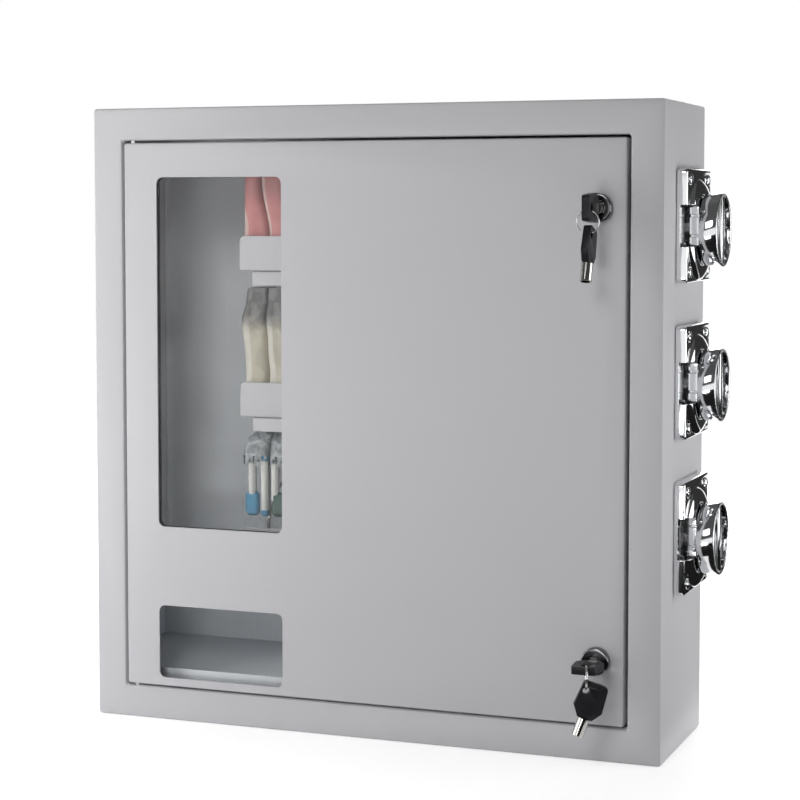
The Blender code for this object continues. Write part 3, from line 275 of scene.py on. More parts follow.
def finish(name, dark, light, rough, metallic=0.0, scale=40.0, grain=2600.0, relief=0.05,
           stretch=(1.0, 1.0, 1.0), edge=0.0003, crumple=0.0):
    made = bpy.data.materials.new(name)
    made.use_nodes = True
    nodes, links = made.node_tree.nodes, made.node_tree.links
    shader = nodes["Principled BSDF"]
    place = nodes.new("ShaderNodeTexCoord")
    mapping = nodes.new("ShaderNodeMapping")
    mapping.inputs["Scale"].default_value = stretch
    links.new(place.outputs["Object"], mapping.inputs["Vector"])
    drift = nodes.new("ShaderNodeTexNoise")
    drift.inputs["Scale"].default_value = scale
    drift.inputs["Detail"].default_value = 6.0
    links.new(mapping.outputs["Vector"], drift.inputs["Vector"])
    tint = nodes.new("ShaderNodeMix")
    tint.data_type = "RGBA"
    tint.inputs[MIX_FIRST].default_value = (*dark, 1.0)
    tint.inputs[MIX_SECOND].default_value = (*light, 1.0)
    links.new(drift.outputs["Fac"], tint.inputs[MIX_SHARE])
    links.new(tint.outputs[MIX_RESULT], shader.inputs["Base Color"])
    fine = nodes.new("ShaderNodeTexNoise")
    fine.inputs["Scale"].default_value = grain
    fine.inputs["Detail"].default_value = 3.0
    links.new(mapping.outputs["Vector"], fine.inputs["Vector"])
    spread = nodes.new("ShaderNodeMapRange")
    spread.inputs["To Min"].default_value = rough[0]
    spread.inputs["To Max"].default_value = rough[1]
    links.new(drift.outputs["Fac"], spread.inputs["Value"])
    links.new(spread.outputs["Result"], shader.inputs["Roughness"])
    bump = nodes.new("ShaderNodeBump")
    bump.inputs["Strength"].default_value = relief
    bump.inputs["Distance"].default_value = RELIEF_DEPTH
    links.new(fine.outputs["Fac"], bump.inputs["Height"])
    if crumple:
        crumpled(nodes, links, mapping, bump, crumple)
    if edge:
        rounding = nodes.new("ShaderNodeBevel")
        rounding.samples = EDGE_SAMPLES
        rounding.inputs["Radius"].default_value = edge
        links.new(rounding.outputs["Normal"], bump.inputs["Normal"])
    links.new(bump.outputs["Normal"], shader.inputs["Normal"])
    shader.inputs["Metallic"].default_value = metallic
    return made


def crumpled(nodes, links, mapping, bump, scale):
    """Adds the flat facets and folds of crumpled film under the fine relief."""
    cells = nodes.new("ShaderNodeTexVoronoi")
    cells.inputs["Scale"].default_value = scale
    links.new(mapping.outputs["Vector"], cells.inputs["Vector"])
    folds = nodes.new("ShaderNodeBump")
    folds.inputs["Strength"].default_value = CRUMPLE_STRENGTH
    folds.inputs["Distance"].default_value = CRUMPLE_DEPTH
    links.new(cells.outputs["Distance"], folds.inputs["Height"])
    links.new(folds.outputs["Normal"], bump.inputs["Normal"])


def crease_highlights(material, scale, colour):
    """Adds light lines along the sharp folds of film, standing in for the light the folds catch: painted
    highlights.
    """
    nodes, links = material.node_tree.nodes, material.node_tree.links
    place = nodes["Texture Coordinate"].outputs["Object"]
    cells = nodes.new("ShaderNodeTexVoronoi")
    cells.feature = "DISTANCE_TO_EDGE"
    cells.inputs["Scale"].default_value = scale
    bend = nodes.new("ShaderNodeTexNoise")
    bend.inputs["Scale"].default_value = scale * CREASE_BEND_SCALE
    links.new(place, bend.inputs["Vector"])
    bent = nodes.new("ShaderNodeVectorMath")
    bent.operation = "MULTIPLY_ADD"
    bent.inputs[1].default_value = [reach / scale for reach in CREASE_BEND]
    links.new(bend.outputs["Color"], bent.inputs[0])
    links.new(place, bent.inputs[2])
    links.new(bent.outputs["Vector"], cells.inputs["Vector"])
    line = nodes.new("ShaderNodeMapRange")
    line.inputs["From Max"].default_value = CREASE_HIGHLIGHT_WIDTH
    line.inputs["To Min"].default_value = CREASE_HIGHLIGHT_LEVEL
    line.inputs["To Max"].default_value = 0.0
    links.new(cells.outputs["Distance"], line.inputs["Value"])
    recolour(nodes, links, line.outputs["Result"], colour)
    return material


def recolour(nodes, links, share, colour=None):
    """Mixes a colour into a finish by a share from 0 to 1. Gives the socket for a colour that varies."""
    target = nodes["Principled BSDF"].inputs["Base Color"]
    mix = nodes.new("ShaderNodeMix")
    mix.data_type = "RGBA"
    links.new(target.links[0].from_socket, mix.inputs[MIX_FIRST])
    if colour:
        mix.inputs[MIX_SECOND].default_value = (*colour, 1.0)
    links.new(share, mix.inputs[MIX_SHARE])
    links.new(mix.outputs[MIX_RESULT], target)
    return mix.inputs[MIX_SECOND]


def gathered(material, start, end, dark, light):
    """A filled bag gives way, along a ragged line between two heights, to its empty gathered film, whose
    facets are painted darker and lighter, standing in for the light and shade they catch.
    """
    nodes, links = material.node_tree.nodes, material.node_tree.links
    place = nodes["Texture Coordinate"].outputs["Object"]
    split = nodes.new("ShaderNodeSeparateXYZ")
    links.new(place, split.inputs[0])
    cloud = nodes.new("ShaderNodeTexNoise")
    cloud.inputs["Scale"].default_value = GATHER_SCALE
    cloud.inputs["Detail"].default_value = 5.0
    links.new(place, cloud.inputs["Vector"])
    ragged = nodes.new("ShaderNodeMath")
    ragged.operation = "MULTIPLY_ADD"
    ragged.inputs[1].default_value = GATHER_RAG
    links.new(cloud.outputs["Fac"], ragged.inputs[0])
    links.new(split.outputs["Z"], ragged.inputs[2])
    way = nodes.new("ShaderNodeMapRange")
    way.interpolation_type = "SMOOTHSTEP"
    way.inputs["From Min"].default_value = start + GATHER_RAG / 2
    way.inputs["From Max"].default_value = end + GATHER_RAG / 2
    links.new(ragged.outputs[0], way.inputs["Value"])
    # Painted light and shade: each facet of the empty film gets its own level between the dark and the
    # light.
    facets = nodes.new("ShaderNodeTexVoronoi")
    facets.inputs["Scale"].default_value = GATHER_SCALE
    links.new(place, facets.inputs["Vector"])
    tint = nodes.new("ShaderNodeMix")
    tint.data_type = "RGBA"
    tint.inputs[MIX_FIRST].default_value = (*light, 1.0)
    tint.inputs[MIX_SECOND].default_value = (*dark, 1.0)
    links.new(facets.outputs["Color"], tint.inputs[MIX_SHARE])
    links.new(tint.outputs[MIX_RESULT], recolour(nodes, links, way.outputs["Result"]))
    return material


def see_through(material, low, high, scale):
    """Gives a finish a cloudy transparency between two alphas."""
    nodes, links = material.node_tree.nodes, material.node_tree.links
    cloud = nodes.new("ShaderNodeTexNoise")
    cloud.inputs["Scale"].default_value = scale
    cloud.inputs["Detail"].default_value = 4.0
    spread = nodes.new("ShaderNodeMapRange")
    spread.inputs["From Min"].default_value = CLOUD_RANGE[0]
    spread.inputs["From Max"].default_value = CLOUD_RANGE[1]
    spread.inputs["To Min"].default_value = low
    spread.inputs["To Max"].default_value = high
    links.new(nodes["Texture Coordinate"].outputs["Object"], cloud.inputs["Vector"])
    links.new(cloud.outputs["Fac"], spread.inputs["Value"])
    links.new(spread.outputs["Result"], nodes["Principled BSDF"].inputs["Alpha"])
    return material


def dulled(material, level):
    """Lowers what a finish reflects."""
    material.node_tree.nodes["Principled BSDF"].inputs["Specular IOR Level"].default_value = level
    return material


PAINT = finish("grey_paint", (0.555, 0.550, 0.575), (0.585, 0.580, 0.600), (0.40, 0.52), scale=9.0,
               grain=2200.0, relief=0.10, edge=0.0005)
# The grey paint made much lighter for the inside of the cabinet, standing in for light there: painted light.
# Its fine vertical streaks come from stretched noise.
INNER_PAINTED_LIGHT = finish("inner_paint_painted_light", (0.77, 0.80, 0.83), (0.86, 0.89, 0.92), (0.34, 0.50), scale=420.0,
               grain=2200.0, relief=0.10, stretch=(1.0, 1.0, 0.02), edge=0.0005)
ZINC = finish("zinc_sheet", (0.50, 0.51, 0.53), (0.66, 0.67, 0.69), (0.28, 0.48), 1.0, scale=90.0)
CHROME = finish("chrome", (0.78, 0.79, 0.81), (0.86, 0.87, 0.88), (0.04, 0.12), 1.0, scale=60.0,
                grain=900.0, relief=0.02, edge=0.0005)
CAST = finish("cast_zinc", (0.36, 0.36, 0.38), (0.50, 0.50, 0.51), (0.40, 0.60), 1.0, scale=160.0,
              grain=1800.0, relief=0.35)
KNURLED = finish("knurled_chrome", (0.50, 0.51, 0.53), (0.84, 0.85, 0.86), (0.10, 0.30), 1.0, scale=700.0,
                 grain=900.0, relief=1.0, edge=0.0)
STEEL = finish("steel", (0.50, 0.50, 0.51), (0.66, 0.66, 0.67), (0.18, 0.34), 1.0, scale=120.0,
               stretch=(1.0, 1.0, 0.2))
# Chrome darkened to stand in for the dark surroundings that the lock heads and plugs reflect: painted dark
# reflection.
SHADED_CHROME = finish("chrome_painted_dark", (0.15, 0.15, 0.16), (0.24, 0.24, 0.25), (0.08, 0.20), 1.0, scale=90.0,
                     grain=900.0, relief=0.04)
NICKEL = finish("nickel", (0.42, 0.41, 0.39), (0.58, 0.57, 0.54), (0.08, 0.20), 1.0, scale=150.0,
                grain=900.0, relief=0.04, edge=0.0)
WIRE = finish("spring_wire", (0.52, 0.52, 0.53), (0.68, 0.68, 0.69), (0.16, 0.30), 1.0, scale=200.0,
              edge=0.0)
BLACK = dulled(finish("black_plastic", (0.010, 0.010, 0.012), (0.020, 0.020, 0.022), (0.28, 0.42),
                      scale=120.0, grain=3000.0, relief=0.15), 0.18)
PANE = see_through(finish("clear_acrylic", (0.88, 0.92, 0.92), (0.94, 0.97, 0.97), (0.03, 0.08),
                          scale=20.0, relief=0.0, edge=0.0), 0.02, 0.05, 25.0)
ROSE = finish("pink_sleeve", (0.45, 0.145, 0.14), (0.62, 0.26, 0.25), (0.35, 0.55), scale=70.0,
              grain=260.0, relief=0.7, stretch=(0.6, 0.6, 2.2), edge=0.0)
CREAM = finish("cream_seal", (0.54, 0.36, 0.33), (0.68, 0.51, 0.47), (0.40, 0.55), scale=90.0,
               grain=600.0, relief=0.25, edge=0.0)
# The cream of the bags, and a lighter copy of it that paints a highlight down each bag's left edge.
LINEN, LINEN_EDGE_HIGHLIGHT = (
    gathered(finish(name, dark, light, (0.30, 0.50), scale=60.0, grain=500.0, relief=0.3, edge=0.0,
                    crumple=90.0), *FILLED, *EMPTY_FILM_PAINTED_SHADES)
    for name, dark, light in (("cream_bag", (0.42, 0.385, 0.29), (0.56, 0.52, 0.42)),
                              ("cream_bag_edge_highlight", (0.56, 0.53, 0.46), (0.68, 0.65, 0.57))))
# Grey film, with painted highlights along its sharp creases.
FILM = see_through(crease_highlights(finish("grey_film", (0.16, 0.175, 0.18), (0.40, 0.43, 0.445), (0.18, 0.38),
                                  scale=150.0, grain=900.0, relief=0.3, edge=0.0, crumple=210.0),
                           84.0, (0.60, 0.645, 0.66)), 0.80, 0.97, 120.0)
CLEAR_FILM = dulled(see_through(finish("clear_film", (0.55, 0.60, 0.62), (0.72, 0.78, 0.80), (0.10, 0.25),
                                       scale=110.0, grain=700.0, relief=0.3, edge=0.0, crumple=170.0),
                                0.01, 0.10, 190.0), 0.3)
WHITE_PLASTIC = finish("white_plastic", (0.66, 0.66, 0.62), (0.74, 0.74, 0.71), (0.25, 0.4))
BLUE_PLASTIC = finish("blue_plastic", (0.018, 0.20, 0.37), (0.040, 0.30, 0.50), (0.25, 0.4))
GREEN_PLASTIC = finish("green_plastic", (0.004, 0.050, 0.032), (0.010, 0.085, 0.050), (0.25, 0.4))


# Shapes

def link(name, mesh, look=None, matrix=Matrix.Identity(4)):
    piece = bpy.data.objects.new(name, mesh)
    bpy.context.scene.collection.objects.link(piece)
    piece.matrix_world = matrix
    if look:
        mesh.materials.append(look)
    return piece


def mesh_from(bm, name):
    mesh = bpy.data.meshes.new(name)
    bm.to_mesh(mesh)
    bm.free()
    return mesh


def at(x, y, z, turn=Matrix.Identity(4)):
    return Matrix.Translation((x, y, z)) @ turn


def settled(piece):
    """A piece with its modifiers worked in, smooth but for its sharp edges."""
    bpy.context.view_layer.update()
    graph = bpy.context.evaluated_depsgraph_get()
    mesh = bpy.data.meshes.new_from_object(piece.evaluated_get(graph))
    tools = [step.object for step in piece.modifiers if step.type == "BOOLEAN"]
    piece.modifiers.clear()
    piece.data = mesh
    for tool in tools:
        bpy.data.objects.remove(tool, do_unlink=True)
    mesh.shade_smooth()
    mesh.set_sharp_from_angle(angle=SMOOTH_ANGLE)
    return piece


def rounded(piece, width, steps=EDGE_STEPS):
    rounding = piece.modifiers.new("rounding", "BEVEL")
    rounding.width = width
    rounding.segments = steps
    rounding.limit_method = "ANGLE"
    rounding.angle_limit = EDGE_ANGLE
    rounding.harden_normals = True
    return piece


def boolean(piece, tool, operation):
    step = piece.modifiers.new(tool.name, "BOOLEAN")
    step.operation = operation
    step.solver = "EXACT"
    step.object = tool
    return piece


def block(name, low, high, look=None, radius=0.0, along=None):
    low, high = Vector(low), Vector(high)
    bm = bmesh.new()
    bmesh.ops.create_cube(bm, size=1.0, matrix=Matrix.Diagonal((high - low).to_4d()))
    if radius:
        axis = Vector(along)
        edges = [edge for edge in bm.edges
                 if abs((edge.verts[0].co - edge.verts[1].co).normalized().dot(axis)) > ALIGNED_SHARE]
        bmesh.ops.bevel(bm, geom=edges, offset=radius, segments=CORNER_STEPS, profile=ROUND_PROFILE,
                        affect="EDGES")
    return link(name, mesh_from(bm, name), look, Matrix.Translation((low + high) / 2))


def rod(name, radius, start, length, matrix, look=None, sides=SMALL_SIDES):
    bm = bmesh.new()
    lift = Matrix.Translation((0.0, 0.0, start + length / 2))
    bmesh.ops.create_cone(bm, cap_ends=True, segments=sides, radius1=radius, radius2=radius,
                          depth=length, matrix=lift)
    return link(name, mesh_from(bm, name), look, matrix)


def turned(name, profile, matrix, look=None, sides=FINE_SIDES, closed=False):
    """A profile of (radius, height) points turned about the local Z."""
    bm = bmesh.new()
    points = [bm.verts.new((radius, 0.0, height)) for radius, height in profile]
    for first, second in zip(points, points[1:]):
        bm.edges.new((first, second))
    if closed:
        bm.edges.new((points[-1], points[0]))
    piece = link(name, mesh_from(bm, name), look, matrix)
    lathe = piece.modifiers.new("lathe", "SCREW")
    lathe.axis = "Z"
    lathe.steps = sides
    lathe.render_steps = sides
    lathe.use_merge_vertices = True
    lathe.merge_threshold = WELD_DISTANCE
    return piece


def arc(centre, radius, start, end, steps):
    """Points on an arc between two shares of a full turn."""
    angles = [2 * math.pi * (start + (end - start) * step / steps) for step in range(steps + 1)]
    return [(centre[0] + radius * math.cos(a), centre[1] + radius * math.sin(a)) for a in angles]


def from_curve(name, curve, look, matrix):
    holder = bpy.data.objects.new(name + " curve", curve)
    bpy.context.scene.collection.objects.link(holder)
    bpy.context.view_layer.update()
    graph = bpy.context.evaluated_depsgraph_get()
    mesh = bpy.data.meshes.new_from_object(holder.evaluated_get(graph))
    bpy.data.objects.remove(holder, do_unlink=True)
    bm = bmesh.new()
    bm.from_mesh(mesh)
    bmesh.ops.remove_doubles(bm, verts=bm.verts, dist=WELD_DISTANCE)
    bmesh.ops.recalc_face_normals(bm, faces=bm.faces)
    bm.to_mesh(mesh)
    bm.free()
    mesh.materials.clear()
    return link(name, mesh, look, matrix)


def add_spline(curve, points, cyclic):
    spline = curve.splines.new("POLY")
    spline.points.add(len(points) - 1)
    for target, point in zip(spline.points, points):
        target.co = (*point, *([0.0] * (3 - len(point))), 1.0)
    spline.use_cyclic_u = cyclic


def outline(name, thickness, matrix, look, *loops):
    curve = bpy.data.curves.new(name, "CURVE")
    curve.dimensions = "2D"
    curve.fill_mode = "BOTH"
    curve.extrude = thickness / 2
    for loop in loops:
        add_spline(curve, loop, True)
    return from_curve(name, curve, look, matrix)


def wire(name, points, radius, matrix, look):
    curve = bpy.data.curves.new(name, "CURVE")
    curve.dimensions = "3D"
    curve.bevel_depth = radius
    curve.bevel_resolution = WIRE_RESOLUTION
    curve.use_fill_caps = True
    add_spline(curve, points, False)
    piece = from_curve(name, curve, look, matrix)
    piece.data.shade_smooth()
    piece.data.set_sharp_from_angle(angle=WIRE_SMOOTH_ANGLE)
    return piece


def merged(name, pieces):
    """Several meshes become one piece, with their finishes."""
    bm = bmesh.new()
    looks = []
    for piece in pieces:
        start = len(bm.faces)
        mesh = piece.data.copy()
        mesh.transform(piece.matrix_world)
        bm.from_mesh(mesh)
        bm.faces.ensure_lookup_table()
        own = list(piece.data.materials)
        looks += [look for look in own if look not in looks]
        for face in bm.faces[start:]:
            face.material_index = looks.index(own[face.material_index])
        bpy.data.objects.remove(piece, do_unlink=True)
    mesh = mesh_from(bm, name)
    for look in looks:
        mesh.materials.append(look)
    return link(name, mesh)


def place_piece(piece, body, slot, *nodes):
    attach(piece, body)
    if nodes:
        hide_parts(*nodes)
    return piece


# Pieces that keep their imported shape

def painted(name, look):
    piece = frame["nodes"][name]
    weld = piece.modifiers.new("weld", "WELD")
    weld.merge_threshold = WELD_DISTANCE
    parting = piece.modifiers.new("sharp edges", "EDGE_SPLIT")
    parting.split_angle = SMOOTH_ANGLE
    piece.data.shade_smooth()
    piece.data.materials.clear()
    piece.data.materials.append(look)


def kept_pieces():
    for name in ("cabinet_shell", "door_panel"):
        painted(name, PAINT)
    # The back panel and pickup bin take the lightened copy of the paint: painted light.
    for name in ("back_panel", "pickup_bin"):
        painted(name, INNER_PAINTED_LIGHT)
    for name in ("cash_box", "coin_chute"):
        painted(name, ZINC)
    for name in ("upper_pivot_pin", "lower_pivot_pin"):
        painted(name, STEEL)
    for tier in TIERS:
        painted(f"{tier}_tray", PAINT)
        painted(f"{tier}_rail", PAINT)
        painted(f"{tier}_housing", CAST)
        painted(f"{tier}_spindle", STEEL)
        painted(f"{tier}_coin_wheel", STEEL)
    for name in LOCKS:
        painted(f"{name}_lock_nut", STEEL)
        painted(f"{name}_lock_cam", STEEL)
    painted("window_pane", PANE)
    painted("pane_frame", BLACK)


# Coin mechanisms

def dome_profile():
    low = PLATE_THICKNESS - PLATE_EDGE
    run = DOME_BASE_RADIUS - DOME_TOP_RADIUS
    shoulder = []
    for step in range(DOME_STEPS + 1):
        angle = math.pi / 2 * step / DOME_STEPS
        shoulder.append((DOME_TOP_RADIUS + run * math.sin(angle),
                         low + (DOME_HEIGHT - low) * math.cos(angle)))
    return [(0.0, DOME_HEIGHT)] + shoulder + [(0.0, low)]


def coin_face(tier, axis):
    node = f"{tier}_coin_face"
    low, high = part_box(node)
    seat_x = low.x
    middle = (low.z + high.z) / 2
    bm = bmesh.new()
    size = Vector((PLATE_THICKNESS, high.y - low.y, high.z - low.z))
    bmesh.ops.create_cube(bm, size=1.0, matrix=Matrix.Diagonal(size.to_4d()))
    corners = [edge for edge in bm.edges
               if abs(edge.verts[0].co.x - edge.verts[1].co.x) > PLATE_THICKNESS / 2]
    bmesh.ops.bevel(bm, geom=corners, offset=PLATE_CORNER, segments=CORNER_STEPS, profile=ROUND_PROFILE,
                    affect="EDGES")
    outer = [face for face in bm.faces if face.normal.x > ALIGNED_SHARE]
    rim = [edge for edge in bm.edges if len([face for face in edge.link_faces if face in outer]) == 1]
    bmesh.ops.bevel(bm, geom=rim, offset=PLATE_EDGE, segments=FINE_EDGE_STEPS, profile=ROUND_PROFILE,
                    affect="EDGES")
    face = link(node + "_chromed", mesh_from(bm, node), CHROME,
                at(seat_x + PLATE_THICKNESS / 2, (low.y + high.y) / 2, middle))
    seat = at(seat_x, axis.y, axis.z, FACING_RIGHT)
    boolean(face, turned(f"{tier} dome", dome_profile(), seat), "UNION")
    cut = [rod(f"{tier} cavity", CAVITY_RADIUS, -OVERRUN, OVERRUN + CAVITY_DEPTH, seat, sides=FINE_SIDES),
           rod(f"{tier} bore", SHAFT_CLEAR_RADIUS, 0.0, DOME_HEIGHT + OVERRUN, seat)]
    notch_end = low.y + NOTCH_DEPTH
    top = seat_x + DOME_HEIGHT + OVERRUN
    cut.append(block(f"{tier} notch", (seat_x + NOTCH_FLOOR, low.y - NOTCH_CORNER - OVERRUN,
                                       middle - NOTCH_HEIGHT / 2),
                     (top, notch_end, middle + NOTCH_HEIGHT / 2), None, NOTCH_CORNER, (1, 0, 0)))
    for side in (-1, 1):
        height = middle + side * GROOVE_SPACING / 2
        cut.append(block(f"{tier} groove", (seat_x + CAVITY_DEPTH - OVERRUN, notch_end - OVERRUN,
                                            height - GROOVE_WIDTH / 2),
                         (top, notch_end + GROOVE_DEPTH, height + GROOVE_WIDTH / 2)))
    for tool in cut:
        boolean(face, tool, "DIFFERENCE")
    place_piece(settled(face), "cabinet", "chrome", node)
    face_screws(tier, seat_x + PLATE_THICKNESS, axis.y, middle)


def screw(name, matrix, turn):
    """A pan head with a driver slot."""
    profile = [(0.0, SCREW_RISE)]
    for step in range(1, SCREW_STEPS + 1):
        angle = math.pi / 2 * step / SCREW_STEPS
        profile.append((SCREW_RADIUS * math.sin(angle),
                        SCREW_RISE * (SCREW_BRIM_SHARE + SCREW_CROWN_SHARE * math.cos(angle))))
    profile += [(SCREW_RADIUS, -OVERRUN / 2), (0.0, -OVERRUN / 2)]
    head = turned(name, profile, matrix, CHROME, SMALL_SIDES)
    slot = block(name + " slot", (-SCREW_RADIUS, -SCREW_SLOT / 2, SCREW_RISE * SCREW_SLOT_FLOOR_SHARE),
                 (SCREW_RADIUS, SCREW_SLOT / 2, SCREW_RISE + OVERRUN))
    slot.matrix_world = matrix @ Matrix.Rotation(turn * math.pi, 4, "Z") @ slot.matrix_world
    return settled(boolean(head, slot, "DIFFERENCE"))


def face_screws(tier, x, y, z):
    heads = []
    for index, turn in enumerate(SCREW_TURNS):
        side_y = SCREW_SPREAD_Y * (1 if index % 2 else -1)
        side_z = SCREW_SPREAD_Z * (1 if index > 1 else -1)
        heads.append(screw(f"{tier} screw {index}", at(x, y + side_y, z + side_z, FACING_RIGHT), turn))
    place_piece(merged(f"{tier}_face_screws", heads), "cabinet", "chrome")


def knob(tier, axis):
    """A chromed knob, dished at its end, with a grip bar across the dish."""
    node = f"{tier}_knob"
    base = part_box(node)[0].x
    seat = at(base, axis.y, axis.z, FACING_RIGHT)
    dish = KNOB_RADIUS - KNOB_WALL
    bottom = KNOB_THICKNESS - KNOB_DISH
    profile = [(0.0, bottom), (dish, bottom), (dish, KNOB_THICKNESS), (KNOB_RADIUS, KNOB_THICKNESS),
               (KNOB_BASE_RADIUS, 0.0), (0.0, 0.0)]
    body = settled(rounded(turned(f"{tier} cup", profile, seat, CHROME), KNOB_EDGE))
    body.data.materials.append(KNURLED)
    for face in body.data.polygons:
        spot = face.center
        if spot.z > KNOB_THICKNESS - KNURL_WIDTH and spot.xy.length > dish:
            face.material_index = 1
    reach = dish + KNOB_WALL / 2
    bar = block(f"{tier} bar", (base + bottom - CLEARANCE, axis.y - GRIP_WIDTH / 2, axis.z - reach),
                (base + KNOB_THICKNESS - GRIP_DROP, axis.y + GRIP_WIDTH / 2, axis.z + reach), CHROME)
    bar = settled(rounded(bar, GRIP_EDGE, FINE_EDGE_STEPS))
    place_piece(merged(node + "_chromed", [body, bar]), f"{tier}_drive", "chrome", node)


def spiral(tier, axis):
    node = f"{tier}_spiral"
    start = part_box(node)[0].x
    points = []
    for step in range(COIL_STEPS * COIL_TURNS + 1):
        turns = step / COIL_STEPS
        angle = -2 * math.pi * turns
        points.append(Vector((start + COIL_PITCH * turns, COIL_RADIUS * math.cos(angle),
                              COIL_RADIUS * math.sin(angle))))
    points.append(points[-1] + Vector((2 * WIRE_RADIUS, 0.0, 0.0)))
    piece = wire(node + "_wire", points, WIRE_RADIUS, at(0.0, axis.y, axis.z), WIRE)
    place_piece(piece, f"{tier}_drive", "spring_wire", node)


# Locks and keys

def lock(name):
    place = at(*JOINTS[f"{name}_lock_turn"], FACING_FRONT)
    bore = PLUG_RADIUS + CLEARANCE
    mouth = LOCK_HEAD_HEIGHT - LOCK_MOUTH_DEPTH
    profile = [(LOCK_MOUTH_RADIUS, LOCK_HEAD_HEIGHT), (LOCK_HEAD_RADIUS - LOCK_EDGE, LOCK_HEAD_HEIGHT)]
    profile += reversed(arc((LOCK_HEAD_RADIUS - LOCK_EDGE, LOCK_HEAD_HEIGHT - LOCK_EDGE), LOCK_EDGE,
                            0.0, 0.25, CORNER_STEPS)[:-1])
    profile += [(LOCK_HEAD_RADIUS, 0.0), (LOCK_BARREL_RADIUS, 0.0), (LOCK_BARREL_RADIUS, LOCK_BARREL_END),
                (bore, LOCK_BARREL_END), (bore, mouth), (LOCK_MOUTH_RADIUS, mouth)]
    # The lock head and its plug take the darkened chrome: painted dark reflection.
    body = settled(turned(f"{name}_lock_head", profile, place, SHADED_CHROME, closed=True))
    place_piece(body, "door", "chrome", f"{name}_lock_body")
    groove = LOCK_HEAD_HEIGHT - KEY_INSERTION - CLEARANCE
    wide = KEY_BARREL_RADIUS + CLEARANCE
    profile = [(0.0, mouth), (PLUG_POST_RADIUS, mouth), (PLUG_POST_RADIUS, groove), (wide, groove),
               (wide, mouth), (PLUG_RADIUS, mouth), (PLUG_RADIUS, LOCK_BARREL_END),
               (PLUG_STUD_RADIUS, LOCK_BARREL_END), (PLUG_STUD_RADIUS, PLUG_STUD_END), (0.0, PLUG_STUD_END)]
    plug = settled(turned(f"{name}_plug", profile, place, SHADED_CHROME))
    place_piece(plug, f"{name}_cylinder", "steel", f"{name}_lock_plug")


def key_bow(name, matrix, body, hole_radius, shift):
    """A six sided bow whose axis runs beside its ring hole at the origin."""
    top = KEY_HOLE_INSET
    neck = top - KEY_BOW_LENGTH
    shoulder = neck + KEY_BOW_SHOULDER_RISE
    inner = KEY_BOW_TOP_WIDTH / 2 - KEY_BOW_CORNER
    edge = []
    for side, turns in ((1, (0.0, 0.25)), (-1, (0.25, 0.5))):
        edge += arc((shift + side * inner, top - KEY_BOW_CORNER), KEY_BOW_CORNER, *turns, CORNER_STEPS)
    edge += [(shift - KEY_BOW_SHOULDER_WIDTH / 2, shoulder), (shift - KEY_NECK_WIDTH / 2, neck),
             (shift + KEY_NECK_WIDTH / 2, neck), (shift + KEY_BOW_SHOULDER_WIDTH / 2, shoulder)]
    hole = arc((0.0, 0.0), hole_radius, 0.0, 1.0, SMALL_SIDES)[:-1]
    bow = outline(f"{name}_moulded_bow", KEY_BOW_THICKNESS, matrix, BLACK, edge, hole)
    place_piece(settled(rounded(bow, KEY_EDGE, FINE_EDGE_STEPS)), body, "black_plastic", f"{name}_bow")


def key_barrel(name, matrix, body, shift):
    top = KEY_HOLE_INSET - KEY_BOW_LENGTH - CLEARANCE
    tip = top - KEY_BARREL_LENGTH
    closed = top - (KEY_BARREL_RADIUS - KEY_BARREL_BORE)
    edge = KEY_BARREL_RADIUS * KEY_TIP_SHARE
    profile = [(0.0, top), (KEY_BARREL_RADIUS, top), (KEY_BARREL_RADIUS, tip + edge),
               (KEY_BARREL_RADIUS - edge, tip), (KEY_BARREL_BORE, tip), (KEY_BARREL_BORE, closed),
               (0.0, closed)]
    along = matrix @ at(shift, 0.0, 0.0, Matrix.Rotation(-math.pi / 2, 4, "X"))
    tube = settled(turned(f"{name}_tube", profile, along, NICKEL, SMALL_SIDES))
    place_piece(tube, body, "steel", f"{name}_barrel")


def key_ring(name, matrix):
    """A split ring: a flat helix of almost two turns in the local XZ plane."""
    points = []
    steps = int(SMALL_SIDES * RING_TURNS)
    for step in range(steps + 1):
        angle = 2 * math.pi * RING_TURNS * step / steps
        drift = (step / steps - 0.5) * 2 * RING_WIRE_RADIUS * RING_TURNS
        points.append(Vector((RING_RADIUS * math.cos(angle), drift, RING_RADIUS * math.sin(angle))))
    ring = wire(f"{name}_split_ring", points, RING_WIRE_RADIUS, matrix, STEEL)
    place_piece(ring, f"{name}_key_ring", "steel", f"{name}_ring")


def hung_from(place, turn):
    """A spare key's place when its hole hangs from a ring's foot and it leans in its own plane."""
    return (Matrix.Translation(place - Vector((0.0, 0.0, RING_SEAT))) @ turn @ FACING_FRONT
            @ Matrix.Rotation(-SPARE_TILT, 4, "Z"))


def keys():
    out = Matrix.Rotation(math.pi, 4, "Z")
    across = Matrix.Rotation(math.pi / 2, 4, "Z")
    turn = Matrix.Rotation(LOWER_RING_TURN, 4, "Z")
    upper, lower = (Vector((JOINTS[f"{name}_lock_turn"].x, JOINTS["upper_ring_swing"].y,
                            JOINTS[f"{name}_lock_turn"].z)) for name in LOCKS)
    upper_foot, lower_foot = JOINTS["upper_spare_swing"], JOINTS["lower_spare_swing"]
    rise = Vector((0.0, 0.0, RING_RADIUS))
    key_ring("upper", at(*(upper_foot + rise)))
    key_ring("lower", at(*(lower_foot + rise), turn @ across))
    seats = (("upper_key", at(*upper, out @ Matrix.Rotation(math.pi / 2, 4, "Y")), KEY_HOLE_RADIUS, 0.0),
             ("lower_key", at(*lower, out), KEY_HOLE_RADIUS, 0.0),
             ("upper_spare_key", hung_from(upper_foot, across), SPARE_HOLE_RADIUS, SPARE_HOLE_SHIFT),
             ("lower_spare_key", hung_from(lower_foot, turn), SPARE_HOLE_RADIUS, SPARE_HOLE_SHIFT))
    for name, place, hole, shift in seats:
        key_bow(name, place, name, hole, shift)
        key_barrel(name, place, name, shift)


# Packs

